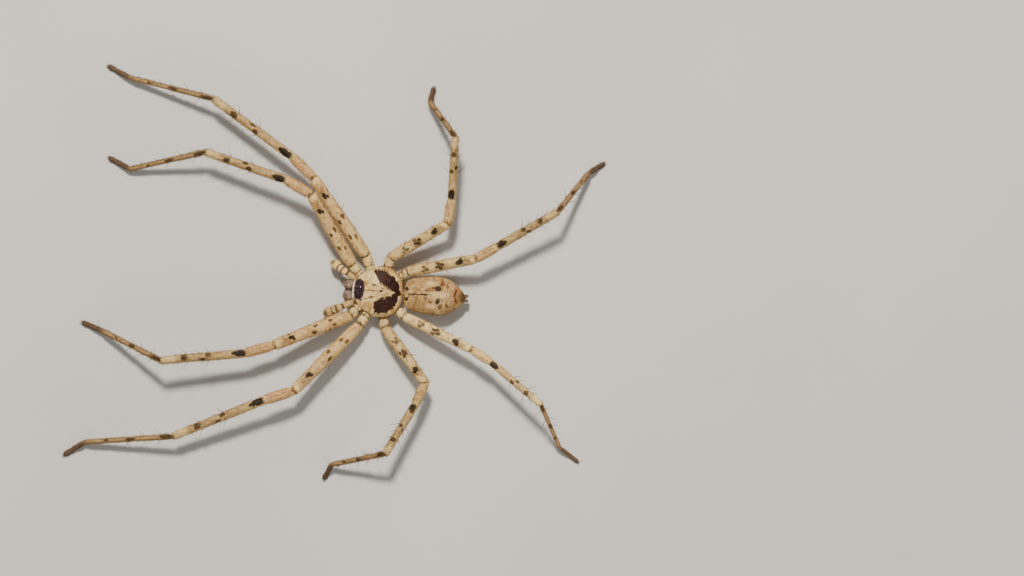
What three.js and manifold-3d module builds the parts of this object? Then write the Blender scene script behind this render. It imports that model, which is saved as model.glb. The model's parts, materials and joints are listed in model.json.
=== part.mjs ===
// A male huntsman spider at rest, life size, with its long flat-held legs spread on a floor.
// Millimetres, +Z up. The head looks along -Y, so the animal's left side is +X.
import * as THREE from 'three';
import { mergeVertices } from 'three/addons/utils/BufferGeometryUtils.js';
import Module from 'manifold-3d';

const wasm = await Module();
wasm.setup();

// Driving dimensions. Lengths along the body are measured from the middle of the carapace.
const bodyPlace = { x: 1.5, y: 7.5 };      // the carapace's middle, from the middle of the whole model
const gap = 0.3;                           // between neighbouring pieces
const eyeGap = 0.12;                       // round each eye in its socket
const carapace = { front: -4.55, back: 4.25, rim: 3.7 };
const sternum = { halfWidth: 2.3, bottom: 1.8, steepness: 2.5 };
const abdomen = { front: 4.55, back: 15.1, middle: 3.5 };
const pedicel = { from: 3.2, to: 5.4, height: 3.1, radius: 0.55 };
const legSides = 10;
const spineSides = 5;
const spineRoot = 0.25;                    // radius of a leg spine where it leaves the leg
const spineSunk = 0.3;                     // how deep a spine's root sits in the leg
const spineLean = { out: 0.8, along: 0.6 };  // how far a spine stands out and how far it leans to the foot
const spineFloor = 0.3;                    // no spine's tip comes nearer to the floor
const finest = 0.01;                       // shorter edges than this are closed up
const footHeight = 0.36;                   // the middle of each foot pad above the floor
const padShare = 0.3;                      // how much of the foot lies on its pad
const eyeSunk = 0.2;                       // share of its radius that an eye's middle lies below the surface
const floorSize = 300;

// Where the carapace and the abdomen are how wide, high and low: pairs of place and value.
const carapaceWidth = [
  [-4.55, 2.15], [-3.6, 2.6], [-2.2, 3.6], [-0.6, 4.35], [1.2, 4.65], [2.8, 4.5], [4.25, 3.9],
];
const carapaceTop = [[-4.55, 4.75], [-3.2, 5.1], [-1.2, 5.45], [1, 5.6], [2.6, 5.2], [4.25, 4.5]];
const carapaceBottom = [
  [-4.55, 3.0], [-3.4, 2.2], [-2.4, sternum.bottom], [2.4, sternum.bottom], [4.25, 2.5],
];
const abdomenWidth = [
  [4.55, 3], [5.6, 2.95], [7.4, 3.18], [10.3, 3.46], [12.6, 3.28], [14, 2.8], [15.1, 2.9],
];
const abdomenTop = [[4.55, 5.2], [7, 5.6], [10, 5.75], [12.8, 5.1], [15.1, 4.0]];
const abdomenBottom = [[4.55, 2.0], [7, 1.6], [10.5, 1.45], [13.5, 1.75], [15.1, 2.1]];

// Pieces of a limb: pairs of place along it, from 0 to 1, and share of its full radius.
const hipShape = [[0, 0.7], [0.12, 0.88], [0.5, 1], [0.6, 0.8], [0.68, 0.95], [0.92, 0.95], [1, 0.84]];
const femurShape = [[0, 0.74], [0.05, 0.9], [0.2, 1], [0.5, 0.98], [0.8, 0.86], [0.95, 0.84], [1, 0.7]];
const metatarsusShape = [[0, 0.9], [0.05, 1.12], [0.25, 1], [0.6, 0.93], [0.93, 0.96], [1, 0.84]];
const tarsusShape = [[0, 0.84], [0.1, 0.98], [0.5, 1], [0.78, 1.02], [0.9, 1.08], [0.98, 0.8], [1, 0.45]];

// Radii of each pair's hip, femur, shin, metatarsus and tarsus, front pair first.
const legRadius = {
  1: { hip: 0.92, femur: 1.13, shin: 0.72, metatarsus: 0.46, tarsus: 0.42 },
  2: { hip: 0.94, femur: 1.12, shin: 0.73, metatarsus: 0.47, tarsus: 0.42 },
  3: { hip: 0.86, femur: 0.99, shin: 0.66, metatarsus: 0.43, tarsus: 0.4 },
  4: { hip: 0.86, femur: 0.99, shin: 0.68, metatarsus: 0.44, tarsus: 0.4 },
};

// Where each hip leaves the sternum, on the left side.
const hipRoot = { 1: [1.7, -2.35, 2.5], 2: [2.15, -0.85, 2.5], 3: [2.15, 0.75, 2.5], 4: [1.5, 2.25, 2.5] };

// The pose. hip is the femur's root. For femur, patella, tibia, metatarsus and tarsus in turn, reach is
// the length seen from above, turn its direction in degrees from straight ahead towards its own side,
// and rise the height that it ends at.
const pose = {
  right_1: { hip: [-4.34, -4.89, 3.0], reach: [14.2, 5.25, 14.7, 13.7, 4.25],
    turn: [55.3, 25.7, 14.8, -16.1, 24], rise: [6.6, 7.2, 5.9, 1.3, footHeight] },
  right_2: { hip: [-6.09, -2.56, 3.0], reach: [16.5, 5.4, 16.95, 15.2, 4.4],
    turn: [51.5, 40, 32.1, 10.4, 24.3], rise: [5.4, 6.0, 5.2, 1.3, footHeight] },
  right_3: { hip: [-6.06, 1.65, 3.0], reach: [11.6, 4.4, 10.7, 7.7, 2.7],
    turn: [144.9, 94.8, 89, 51.8, 100.6], rise: [6.3, 6.7, 8.4, 1.9, footHeight] },
  right_4: { hip: [-3.84, 4.8, 3.0], reach: [12.1, 4.4, 11.9, 9.0, 3.4],
    turn: [164.9, 146.1, 145.7, 125.6, 143.2], rise: [6.6, 7.0, 8.3, 1.6, footHeight] },
  left_1: { hip: [4.4, -4.41, 3.0], reach: [14.45, 5.25, 14.7, 11.7, 3.9],
    turn: [25.6, 19.7, 9.1, -21.4, -18.2], rise: [5.9, 6.6, 7.9, 1.3, footHeight] },
  left_2: { hip: [5.94, -2.71, 3.0], reach: [16.3, 5.65, 17.0, 15.7, 4.35],
    turn: [49.1, 22.3, 26, 8.5, 35.8], rise: [6.2, 6.6, 5.0, 1.3, footHeight] },
  left_3: { hip: [6.06, 1.51, 3.0], reach: [12.0, 4.3, 9.8, 9.6, 2.9],
    turn: [130.4, 70.3, 62.5, 17.5, 65.1], rise: [5.6, 6.1, 8.0, 1.9, footHeight] },
  left_4: { hip: [3.9, 4.68, 3.0], reach: [13.15, 4.2, 11.2, 8.5, 4.2],
    turn: [158.2, 151.3, 143.7, 119.4, 146.1], rise: [5.9, 6.4, 8.6, 1.6, footHeight] },
};

// A claw: its radius, and from the foot's tip the steps along, across and up to its root, bend and point.
const claw = { radius: 0.22, root: [-0.4, 0.14, 0.05], bend: [0.5, 0.1, 0.1], point: [0.3, 0.05, -0.28] };

// Four eyes a side in two rows: where each sits on the front of the carapace, on the left side, and its
// radius. Each stands a little more than half out of its socket.
const eyes = {
  eye_front_middle: { x: 0.37, y: -4.15, radius: 0.21 },
  eye_front_side: { x: 1.1, y: -4.0, radius: 0.3 },
  eye_back_middle: { x: 0.52, y: -3.2, radius: 0.22 },
  eye_back_side: { x: 1.52, y: -2.98, radius: 0.27 },
};

// Spines: place along the piece, from 0 to 1, direction round it in degrees from its top towards the
// animal's front, and length.
const spines = {
  femur: [[0.3, 50, 1.5], [0.3, -50, 1.5], [0.55, 0, 1.7], [0.55, 62, 1.7], [0.78, -45, 1.6],
    [0.8, 45, 1.6]],
  shin: [[0.12, 5, 1.3], [0.42, 75, 2.1], [0.42, -75, 2.1], [0.46, 140, 2.2], [0.5, -140, 2.2],
    [0.68, 72, 2.0], [0.68, -72, 2.0], [0.74, 145, 2.1], [0.78, -145, 2.1]],
  metatarsus: [[0.14, 130, 2.1], [0.14, -130, 2.1], [0.3, 70, 1.8], [0.32, -70, 1.8], [0.5, 100, 1.6]],
};

const skin = {
  cream: '#d9c39c', tan: '#c3a377', brown: '#5a3a22', dark: '#2b1a12', grey: '#7d6c61', black: '#120c12',
};
const finish = {
  carapace: new THREE.MeshStandardMaterial({ color: skin.cream, roughness: 0.55, metalness: 0 }),
  abdomen: new THREE.MeshStandardMaterial({ color: skin.tan, roughness: 0.75, metalness: 0 }),
  leg: new THREE.MeshStandardMaterial({ color: skin.cream, roughness: 0.6, metalness: 0 }),
  foot: new THREE.MeshStandardMaterial({ color: skin.grey, roughness: 0.8, metalness: 0 }),
  chelicera: new THREE.MeshStandardMaterial({ color: skin.brown, roughness: 0.5, metalness: 0 }),
  fang: new THREE.MeshStandardMaterial({ color: skin.dark, roughness: 0.2, metalness: 0 }),
  eye: new THREE.MeshStandardMaterial({ color: skin.black, roughness: 0.05, metalness: 0 }),
};

const up = new THREE.Vector3(0, 0, 1);
const ahead = new THREE.Vector3(0, -1, 0);
const radians = THREE.MathUtils.degToRad;
const clamp = THREE.MathUtils.clamp;
const point = ([x, y, z]) => new THREE.Vector3(x, y, z);
const towards = (a, b) => b.clone().sub(a).normalize();

// The normal of the plane in which two pieces of a limb meet.
const jointNormal = (before, at, after) => towards(before, at).add(towards(at, after)).normalize();

// A smooth curve through pairs of place and value.
function profile(stations) {
  const slopes = stations.map((station, i) => {
    const before = stations[Math.max(i - 1, 0)];
    const after = stations[Math.min(i + 1, stations.length - 1)];
    return (after[1] - before[1]) / (after[0] - before[0]);
  });
  return (place) => {
    const next = stations.findIndex(([at]) => at >= place);
    const i = clamp(next < 0 ? stations.length - 2 : next - 1, 0, stations.length - 2);
    const [from, to] = [stations[i], stations[i + 1]];
    const span = to[0] - from[0];
    const t = clamp((place - from[0]) / span, 0, 1);
    return from[1] * (1 + 2 * t) * (1 - t) ** 2 + to[1] * t * t * (3 - 2 * t)
      + span * (slopes[i] * t * (1 - t) ** 2 - slopes[i + 1] * t * t * (1 - t));
  };
}

// Solids and geometries.
function solidOf(geometry) {
  geometry.deleteAttribute('normal');
  geometry.deleteAttribute('uv');
  const merged = mergeVertices(geometry, 1e-4);
  return new wasm.Manifold(new wasm.Mesh({
    numProp: 3,
    vertProperties: new Float32Array(merged.attributes.position.array),
    triVerts: new Uint32Array(merged.index.array),
  }));
}

function geometryOf(solid) {
  const bodies = solid.simplify(finest).decompose().sort((a, b) => b.volume() - a.volume());
  const mesh = bodies[0].getMesh();
  const geometry = new THREE.BufferGeometry();
  geometry.setAttribute('position', new THREE.BufferAttribute(mesh.vertProperties, 3));
  geometry.setIndex(new THREE.BufferAttribute(mesh.triVerts, 1));
  geometry.computeVertexNormals();
  return geometry;
}

const joined = (solids) => solids.reduce((whole, solid) => whole.add(solid));

// A ball at a place.
function ball(centre, radius, sides = 12) {
  const geometry = new THREE.SphereGeometry(radius, sides, Math.round(sides * 0.66));
  geometry.translate(centre.x, centre.y, centre.z);
  return solidOf(geometry);
}

// How far a rounded body has closed at a share of its half length, from -1 in front to 1 at the back.
// blunt says how squarely the front and the back close: 2 is an ellipse.
function closing(along, [front, back]) {
  const power = along < 0 ? front : back;
  return Math.max(0, 1 - Math.abs(along) ** power) ** (1 / power);
}

// A rounded body along Y, from a sphere whose sections take their width, top and bottom from curves.
function bodyOf({ front, back, middle, width, top, bottom, blunt, tuck, sides, rings }) {
  const geometry = new THREE.SphereGeometry(1, sides, rings);
  const place = geometry.attributes.position;
  for (let i = 0; i < place.count; i += 1) {
    const along = clamp(place.getY(i), -1, 1);
    const y = (front + back) / 2 + along * (back - front) / 2;
    const round = Math.hypot(place.getX(i), place.getZ(i)) || 1;
    const [across, height] = [place.getX(i) / round, -place.getZ(i) / round];
    const narrow = height < 0 ? tuck(-height, width(y)) : 1;
    const reach = height < 0 ? middle - bottom(y) : top(y) - middle;
    const x = -across * width(y) * narrow * closing(along, blunt.width);
    place.setXYZ(i, x, y, middle + height * reach * closing(along, blunt.height));
  }
  return solidOf(geometry);
}

// A limb along a bent line: rings are pairs of place and share of the radius. The end faces lie in the
// planes of the joints, whose normals are start and end, and the rings near a bend lean towards the plane
// that halves it. grow makes the same shape fatter all round. above is the way that the limb's upper side
// faces.
function limb({ line, radius, shape, start, end, grow = 0, sides = legSides, above = up }) {
  const lengths = line.slice(1).map((p, i) => p.distanceTo(line[i]));
  const total = lengths.reduce((sum, length) => sum + length, 0);
  const bends = lengths.slice(1).map((length, i) => ({
    at: lengths.slice(0, i + 1).reduce((sum, piece) => sum + piece, 0),
    reach: Math.min(3 * radius, length / 2, lengths[i] / 2),
    normal: jointNormal(line[i], line[i + 1], line[i + 2]),
  }));
  const geometry = new THREE.CylinderGeometry(1, 1, 1, sides, shape.length - 1);
  const vertices = geometry.attributes.position;
  for (let i = 0; i < vertices.count; i += 1) {
    const ring = Math.round((0.5 - vertices.getY(i)) * (shape.length - 1));
    const [share, fat] = shape[ring];
    let piece = 0;
    let run = share * total;
    while (piece < lengths.length - 1 && run > lengths[piece]) {
      run -= lengths[piece];
      piece += 1;
    }
    const dir = towards(line[piece], line[piece + 1]);
    const centre = line[piece].clone().addScaledVector(dir, run);
    const side = new THREE.Vector3().crossVectors(dir, above).normalize();
    const top = new THREE.Vector3().crossVectors(side, dir);
    const size = radius * fat + grow;
    const spoke = side.multiplyScalar(vertices.getX(i) * size)
      .addScaledVector(top, -vertices.getZ(i) * size);
    const fromStart = share * total;
    const fromEnd = total - fromStart;
    let slide = 0;
    if (start) slide -= Math.max(0, 1 - fromStart / (3 * radius)) * spoke.dot(start) / dir.dot(start);
    if (end) slide -= Math.max(0, 1 - fromEnd / (3 * radius)) * spoke.dot(end) / dir.dot(end);
    for (const { at, reach, normal } of bends) {
      slide -= Math.max(0, 1 - Math.abs(fromStart - at) / reach) * spoke.dot(normal) / dir.dot(normal);
    }
    if (grow && ring === 0) slide -= grow;
    if (grow && ring === shape.length - 1) slide += grow;
    centre.add(spoke).addScaledVector(dir, slide);
    vertices.setXYZ(i, centre.x, centre.y, centre.z);
  }
  return solidOf(geometry);
}

// A curved, tapering spike such as a claw or a fang.
function spike(line, radius, sides, above = up) {
  const shape = line.map((_, i) => [i / (line.length - 1), Math.max(1 - i / (line.length - 1), 0.12)]);
  return limb({ line, radius, shape, sides, above });
}

// A straight spine that ends in one point.
function spine(base, tip) {
  const length = base.distanceTo(tip);
  const geometry = new THREE.ConeGeometry(spineRoot, length, spineSides);
  geometry.translate(0, length / 2, 0);
  const turn = new THREE.Quaternion().setFromUnitVectors(new THREE.Vector3(0, 1, 0), towards(base, tip));
  geometry.applyQuaternion(turn);
  geometry.translate(base.x, base.y, base.z);
  return solidOf(geometry);
}

// Legs.
const legs = Object.entries(pose).map(([name, row]) => {
  const side = name.startsWith('left') ? 1 : -1;
  const joints = [point(row.hip)];
  row.reach.forEach((reach, i) => {
    const turn = radians(row.turn[i]);
    const last = joints[i];
    joints.push(new THREE.Vector3(
      last.x + side * reach * Math.sin(turn), last.y - reach * Math.cos(turn), row.rise[i]));
  });
  const pair = Number(name.at(-1));
  const [x, y, z] = hipRoot[pair];
  return { name, side, pair, root: new THREE.Vector3(side * x, y, z), joints, radius: legRadius[pair] };
});

// A piece of a leg between two joints, short of each joint plane by half the gap.
function legPiece({ line, radius, shape, start, end }) {
  const dir = towards(line[0], line[1]);
  const last = towards(line.at(-2), line.at(-1));
  const cut = line.map((p) => p.clone());
  cut[0].addScaledVector(dir, (gap / 2) / (start ? dir.dot(start) : 1));
  if (end) cut.at(-1).addScaledVector(last, -(gap / 2) / last.dot(end));
  return limb({ line: cut, radius, shape, start, end });
}

const hip = (leg, grow = 0) => {
  const end = jointNormal(leg.root, leg.joints[0], leg.joints[1]);
  const dir = towards(leg.root, leg.joints[0]);
  const tip = leg.joints[0].clone().addScaledVector(dir, -(gap / 2) / dir.dot(end));
  return limb({ line: [leg.root, tip], radius: leg.radius.hip, shape: hipShape, end, grow });
};

// The knee piece and the tibia are one solid, with the groove between them at its own place.
function shinShape(leg) {
  const patella = leg.joints[1].distanceTo(leg.joints[2]);
  const groove = patella / (patella + leg.joints[2].distanceTo(leg.joints[3]));
  return [[0, 0.96], [groove * 0.25, 1.26], [groove * 0.7, 1.22], [groove * 0.94, 1.08], [groove, 0.92],
    [groove * 1.06, 1.04], [0.5, 1.02], [0.75, 0.94], [0.95, 0.92], [1, 0.76]];
}

// Spines on a piece between two joints, left out where they would come near another leg or the floor.
function spinesOn(leg, from, to, radius, rows) {
  const dir = towards(from, to);
  const front = new THREE.Vector3().crossVectors(dir, up).normalize().multiplyScalar(leg.side);
  const top = new THREE.Vector3().crossVectors(dir, front).multiplyScalar(-leg.side).normalize();
  const others = legs.filter((other) => other !== leg);
  return rows.flatMap(([share, around, length]) => {
    const angle = radians(around);
    const out = top.clone().multiplyScalar(Math.cos(angle)).addScaledVector(front, -Math.sin(angle));
    const base = from.clone().lerp(to, share).addScaledVector(out, radius - spineSunk);
    const lean = out.clone().multiplyScalar(spineLean.out).addScaledVector(dir, spineLean.along).normalize();
    const tip = base.clone().addScaledVector(lean, length + spineSunk);
    if (tip.z < spineFloor || others.some((other) => nearLeg(other, base, tip))) return [];
    return [spine(base, tip)];
  });
}

function nearLeg(leg, base, tip) {
  const { femur, shin, metatarsus, tarsus } = leg.radius;
  const radii = [femur, shin, shin, metatarsus, tarsus];
  return radii.some((radius, i) => [0.3, 0.65, 1].some((share) => {
    const spot = base.clone().lerp(tip, share);
    const piece = new THREE.Line3(leg.joints[i], leg.joints[i + 1]);
    const near = piece.closestPointToPoint(spot, true, new THREE.Vector3());
    return near.distanceTo(spot) < radius + spineRoot + gap;
  }));
}

// The foot: the tarsus bends to lie on its pad, and carries two claws over the pad.
function foot(leg) {
  const [from, tip] = [leg.joints[4], leg.joints[5]];
  const flat = tip.clone().lerp(new THREE.Vector3(from.x, from.y, tip.z), padShare);
  const start = jointNormal(leg.joints[3], from, flat);
  const pad = legPiece({ line: [from, flat, tip], radius: leg.radius.tarsus, shape: tarsusShape, start });
  const dir = towards(flat, tip);
  const side = new THREE.Vector3().crossVectors(dir, up).normalize();
  const claws = [-1, 1].map((which) => {
    const step = (from, [along, across, rise]) => from.clone().addScaledVector(dir, along)
      .addScaledVector(side, which * across).addScaledVector(up, rise);
    const root = step(tip, claw.root);
    const bend = step(root, claw.bend);
    return spike([root, bend, step(bend, claw.point)], claw.radius, spineSides);
  });
  return onFloor(joined([pad, ...claws]));
}

// Cuts away what lies below the floor, which leaves the flats that the animal stands on.
function onFloor(solid) {
  const below = new THREE.BoxGeometry(floorSize, floorSize, floorSize);
  below.translate(0, 0, -floorSize / 2);
  return solid.subtract(solidOf(below));
}

function legPieces(leg) {
  const { joints, radius } = leg;
  const at = (i) => jointNormal(i ? joints[i - 1] : leg.root, joints[i], joints[i + 1]);
  const femur = legPiece({ line: [joints[0], joints[1]], radius: radius.femur, shape: femurShape,
    start: at(0), end: at(1) });
  const shin = legPiece({ line: joints.slice(1, 4), radius: radius.shin, shape: shinShape(leg),
    start: at(1), end: at(3) });
  const metatarsus = legPiece({ line: [joints[3], joints[4]], radius: radius.metatarsus,
    shape: metatarsusShape, start: at(3), end: at(4) });
  return {
    hip: hip(leg),
    femur: joined([femur, ...spinesOn(leg, joints[0], joints[1], radius.femur, spines.femur)]),
    shin: joined([shin, ...spinesOn(leg, joints[2], joints[3], radius.shin, spines.shin)]),
    metatarsus: joined([metatarsus,
      ...spinesOn(leg, joints[3], joints[4], radius.metatarsus, spines.metatarsus)]),
    tarsus: foot(leg),
  };
}

// The mouth parts. Each is made for one side, with side 1 on the left.
const cheliceraShape = [[0, 0.8], [0.12, 0.98], [0.45, 1.08], [0.8, 0.98], [0.94, 0.84], [1, 0.6]];
const chelicera = (side, grow = 0) => limb({
  line: [[0.99, -4.95, 3.6], [1.0, -5.35, 2.4], [0.98, -5.3, 1.3]]
    .map(([x, y, z]) => point([side * x, y, z])),
  radius: 0.78, shape: cheliceraShape, grow, sides: 14, above: ahead,
});

const fang = (side) => spike(
  [[0.98, -5.3, 0.95], [0.8, -5.42, 0.68], [0.5, -5.38, 0.55], [0.22, -5.25, 0.5]]
    .map(([x, y, z]) => point([side * x, y, z])), 0.3, 8, ahead);

// The palps fold: up from the head, over a knee, and down to the swollen last piece that males have.
const palpLine = {
  '-1': [[-1.95, -4.3, 2.6], [-2.95, -5.8, 3.9], [-3.75, -7.1, 3.4], [-4.75, -8.6, 1.5]],
  1: [[1.95, -4.3, 2.6], [3.05, -6.15, 3.9], [3.75, -7.6, 3.4], [4.6, -9.15, 1.5]],
};
const palpRadius = 0.7;
const palpTipRadius = 0.88;
const palpShape = [
  [0, 0.64], [0.08, 0.74], [0.3, 0.78], [0.5, 0.76], [0.56, 0.7], [0.66, 0.98], [0.94, 1], [1, 0.8],
];
const palpTipShape = [[0, 0.5], [0.1, 0.8], [0.35, 1.05], [0.6, 1], [0.85, 0.66], [1, 0.28]];

function palp(side, grow = 0) {
  const [root, knee, wrist, tip] = palpLine[side].map(point);
  const end = jointNormal(knee, wrist, tip);
  const last = towards(knee, wrist);
  const cut = wrist.clone().addScaledVector(last, -(gap / 2) / last.dot(end));
  return limb({ line: [root, knee, cut], radius: palpRadius, shape: palpShape, end, grow, sides: legSides });
}

function palpTip(side) {
  const [, knee, wrist, tip] = palpLine[side].map(point);
  const start = jointNormal(knee, wrist, tip);
  return legPiece({ line: [wrist, tip], radius: palpTipRadius, shape: palpTipShape, start });
}

// The body. Below its rim the head and thorax draw in to the sternum, where the hips leave it.
const head = {
  ...carapace, middle: carapace.rim,
  width: profile(carapaceWidth), top: profile(carapaceTop), bottom: profile(carapaceBottom),
  blunt: { width: [5, 2.6], height: [2.4, 2.6] },
  tuck: (depth, halfWidth) => THREE.MathUtils.lerp(
    1, sternum.halfWidth / halfWidth, clamp(depth * sternum.steepness, 0, 1)),
  sides: 28, rings: 18,
};

// The height of the carapace's upper side.
function carapaceHeight(x, y) {
  const along = (y - (head.front + head.back) / 2) / ((head.back - head.front) / 2);
  const across = x / (head.width(y) * closing(along, head.blunt.width));
  const rise = (head.top(y) - head.middle) * closing(along, head.blunt.height);
  return head.middle + rise * Math.sqrt(1 - across ** 2);
}

function eyeBall(side, eye, grow = 0) {
  const height = carapaceHeight(eye.x, eye.y) - eye.radius * eyeSunk;
  return ball(new THREE.Vector3(side * eye.x, eye.y, height), eye.radius + grow, 10);
}

const pedicelSolid = (grow = 0) => limb({
  line: [point([0, pedicel.from, pedicel.height]), point([0, pedicel.to, pedicel.height])],
  radius: pedicel.radius, shape: [[0, 1], [0.5, 0.85], [1, 1]], grow, sides: 12,
});

// The plates under the mouth, behind the chelicerae: two long ones with a short one between them.
function mouthPlates() {
  const shape = [[0, 0.6], [0.25, 1], [0.75, 0.95], [1, 0.6]];
  const long = [-1, 1].map((side) => limb({
    line: [point([side * 0.85, -2.6, 2.25]), point([side * 0.72, -4.35, 2.1])], radius: 0.55, shape,
  }));
  return [...long, limb({ line: [point([0, -2.3, 2.2]), point([0, -3.3, 2.1])], radius: 0.42, shape })];
}

function prosoma() {
  const whole = joined([bodyOf(head), ...mouthPlates()]);
  const sockets = [
    ...legs.map((leg) => hip(leg, gap)),
    ...[-1, 1].flatMap((side) => [chelicera(side, gap), palp(side, gap),
      ...Object.values(eyes).map((eye) => eyeBall(side, eye, eyeGap))]),
    pedicelSolid(gap),
  ];
  return whole.subtract(joined(sockets));
}

// Spinnerets: a low mound with two pairs of short cones that point backwards.
function spinnerets(grow = 0) {
  const mound = ball(new THREE.Vector3(0, 14.7, 2.9), 0.7 + grow, 14);
  const cones = [[0.32, 2.62, 0.8], [0.3, 3.1, 0.7]].flatMap(([x, z, length]) => [-1, 1].map((side) => limb({
    line: [point([side * x, 14.9, z]), point([side * (x + 0.1), 15 + length, z])],
    radius: 0.3, shape: [[0, 1], [0.7, 0.9], [1, 0.5]], grow, sides: 8,
  })));
  return joined([mound, ...cones]);
}

function abdomenSolid() {
  const whole = bodyOf({
    ...abdomen, width: profile(abdomenWidth), top: profile(abdomenTop), bottom: profile(abdomenBottom),
    blunt: { width: [5, 2.2], height: [2.8, 2.2] }, tuck: () => 1, sides: 26, rings: 18,
  });
  return whole.subtract(joined([pedicelSolid(gap), spinnerets(gap)]));
}

// The model.
const animal = new THREE.Group();
animal.position.set(bodyPlace.x, bodyPlace.y, 0);

function add(name, solid, material) {
  const mesh = new THREE.Mesh(geometryOf(solid), material);
  mesh.name = name;
  animal.add(mesh);
}

add('prosoma', prosoma(), finish.carapace);
add('pedicel', pedicelSolid(), finish.carapace);
add('abdomen', abdomenSolid(), finish.abdomen);
add('spinnerets', spinnerets(), finish.abdomen);
for (const [word, side] of [['left', 1], ['right', -1]]) {
  add(`chelicera_${word}`, chelicera(side), finish.chelicera);
  add(`fang_${word}`, fang(side), finish.fang);
  add(`palp_${word}`, palp(side), finish.leg);
  add(`palp_tip_${word}`, palpTip(side), finish.leg);
  for (const [name, eye] of Object.entries(eyes)) {
    add(`${name}_${word}`, eyeBall(side, eye), finish.eye);
  }
}
for (const leg of legs) {
  for (const [piece, solid] of Object.entries(legPieces(leg))) {
    add(`leg_${leg.name}_${piece}`, solid, piece === 'tarsus' ? finish.foot : finish.leg);
  }
}

const model = new THREE.Group();
model.add(animal);
export default model;
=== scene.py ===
# %% [markdown]
# A huntsman spider, life size, as a museum would show it: a still model at rest on a plain pale floor.
# The solids of the animal come from the frame. Here they get their looks: skins with the cream, tan and
# brown pattern, glossy eyes, dark fangs and claws, fine spines and a short coat of hairs.
# All lengths below are written in millimetres and turned into Blender's metres where a mesh is made.

# %% Load the frame
import json
import math
import random
from functools import reduce
import bmesh
import bpy
import numpy as np
from mathutils import Matrix, Vector

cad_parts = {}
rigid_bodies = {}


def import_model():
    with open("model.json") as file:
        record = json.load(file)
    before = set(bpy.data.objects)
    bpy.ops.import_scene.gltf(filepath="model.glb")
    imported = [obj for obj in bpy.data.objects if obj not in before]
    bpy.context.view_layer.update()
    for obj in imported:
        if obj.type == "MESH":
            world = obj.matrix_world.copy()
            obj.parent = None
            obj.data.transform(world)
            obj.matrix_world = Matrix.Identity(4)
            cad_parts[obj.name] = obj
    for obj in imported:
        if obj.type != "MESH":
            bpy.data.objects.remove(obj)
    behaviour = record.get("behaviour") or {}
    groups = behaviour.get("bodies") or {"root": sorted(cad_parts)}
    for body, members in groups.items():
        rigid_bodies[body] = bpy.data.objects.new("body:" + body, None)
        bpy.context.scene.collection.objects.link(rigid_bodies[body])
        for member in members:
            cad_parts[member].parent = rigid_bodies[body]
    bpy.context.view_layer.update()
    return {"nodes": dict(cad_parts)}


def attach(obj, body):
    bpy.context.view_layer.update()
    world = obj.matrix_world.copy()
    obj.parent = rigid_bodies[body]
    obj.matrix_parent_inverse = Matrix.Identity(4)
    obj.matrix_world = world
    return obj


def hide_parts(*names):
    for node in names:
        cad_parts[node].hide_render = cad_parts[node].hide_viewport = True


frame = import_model()
scene = bpy.context.scene
MM = 0.001
SEED = 7
BODY_PLACE = Vector((1.5, 7.5, 0))
UP, AHEAD = Vector((0, 0, 1)), Vector((0, -1, 0))
SIDES = {"left": 1, "right": -1}


def linked(name, data):
    """An object in the scene, made of a mesh, a lamp or a camera."""
    made = bpy.data.objects.new(name, data)
    scene.collection.objects.link(made)
    return made


print("nodes in the frame:", len(frame["nodes"]))

# %% [markdown]
# The camera comes first, because it decides what will be seen. The photograph looks straight down on the
# back, from far enough away that nothing is distorted, so a long lens is used. It is rolled so that the
# head points to the left of the picture, and shifted because the animal sits left of the picture's middle.

# %% Camera
ROLL = math.radians(4.3)
PICTURE_WIDTH = 179.2
LENS_LENGTH = 135
SENSOR = 36
aim = Vector((1.15, 3.26, 3.5)) * MM
right = Vector((-math.sin(ROLL), math.cos(ROLL), 0))
picture_up = Vector((-math.cos(ROLL), -math.sin(ROLL), 0))
distance = PICTURE_WIDTH * LENS_LENGTH / SENSOR * MM
camera_data = bpy.data.cameras.new("camera")
camera_data.lens = LENS_LENGTH
camera_data.sensor_width = SENSOR
camera_data.shift_x = 0.154
camera_data.clip_start = 0.01
camera_data.clip_end = 50
camera = linked("camera", camera_data)
turn = Matrix((right, picture_up, UP)).transposed()
camera.matrix_world = Matrix.Translation(aim + Vector((0, 0, distance))) @ turn.to_4x4()
scene.camera = camera
print("camera stands %.2f m above the animal" % distance)


# %% [markdown]
# Many shapes on an animal swell and narrow smoothly. A short list of places and values, with a smooth
# curve through them, says this more clearly than many points would.

# %% Smooth profiles
def profile(stations):
    """A smooth curve through pairs of place and value."""
    slopes = []
    for i in range(len(stations)):
        before, after = stations[max(i - 1, 0)], stations[min(i + 1, len(stations) - 1)]
        slopes.append((after[1] - before[1]) / (after[0] - before[0]))

    def at(place):
        i = 0
        while i < len(stations) - 2 and stations[i + 1][0] < place:
            i += 1
        (a, low), (b, high) = stations[i], stations[i + 1]
        t = min(max((place - a) / (b - a), 0), 1)
        return (low * (1 + 2 * t) * (1 - t) ** 2 + high * t * t * (3 - 2 * t)
                + (b - a) * (slopes[i] * t * (1 - t) ** 2 - slopes[i + 1] * t * t * (1 - t)))
    return at


def closing(along, blunt):
    """How far a rounded body has closed, from -1 in front to 1 at the back. A blunt of 2 is an ellipse."""
    power = blunt[0] if along < 0 else blunt[1]
    return max(0, 1 - abs(along) ** power) ** (1 / power)


print("half way between 1 and 3 a profile gives", profile([[0, 1], [1, 3]])(0.5))

# %% [markdown]
# Shader maths reads best as plain expressions. This small class wraps a socket of a node, and each
# operator adds the Math node that it stands for.


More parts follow.
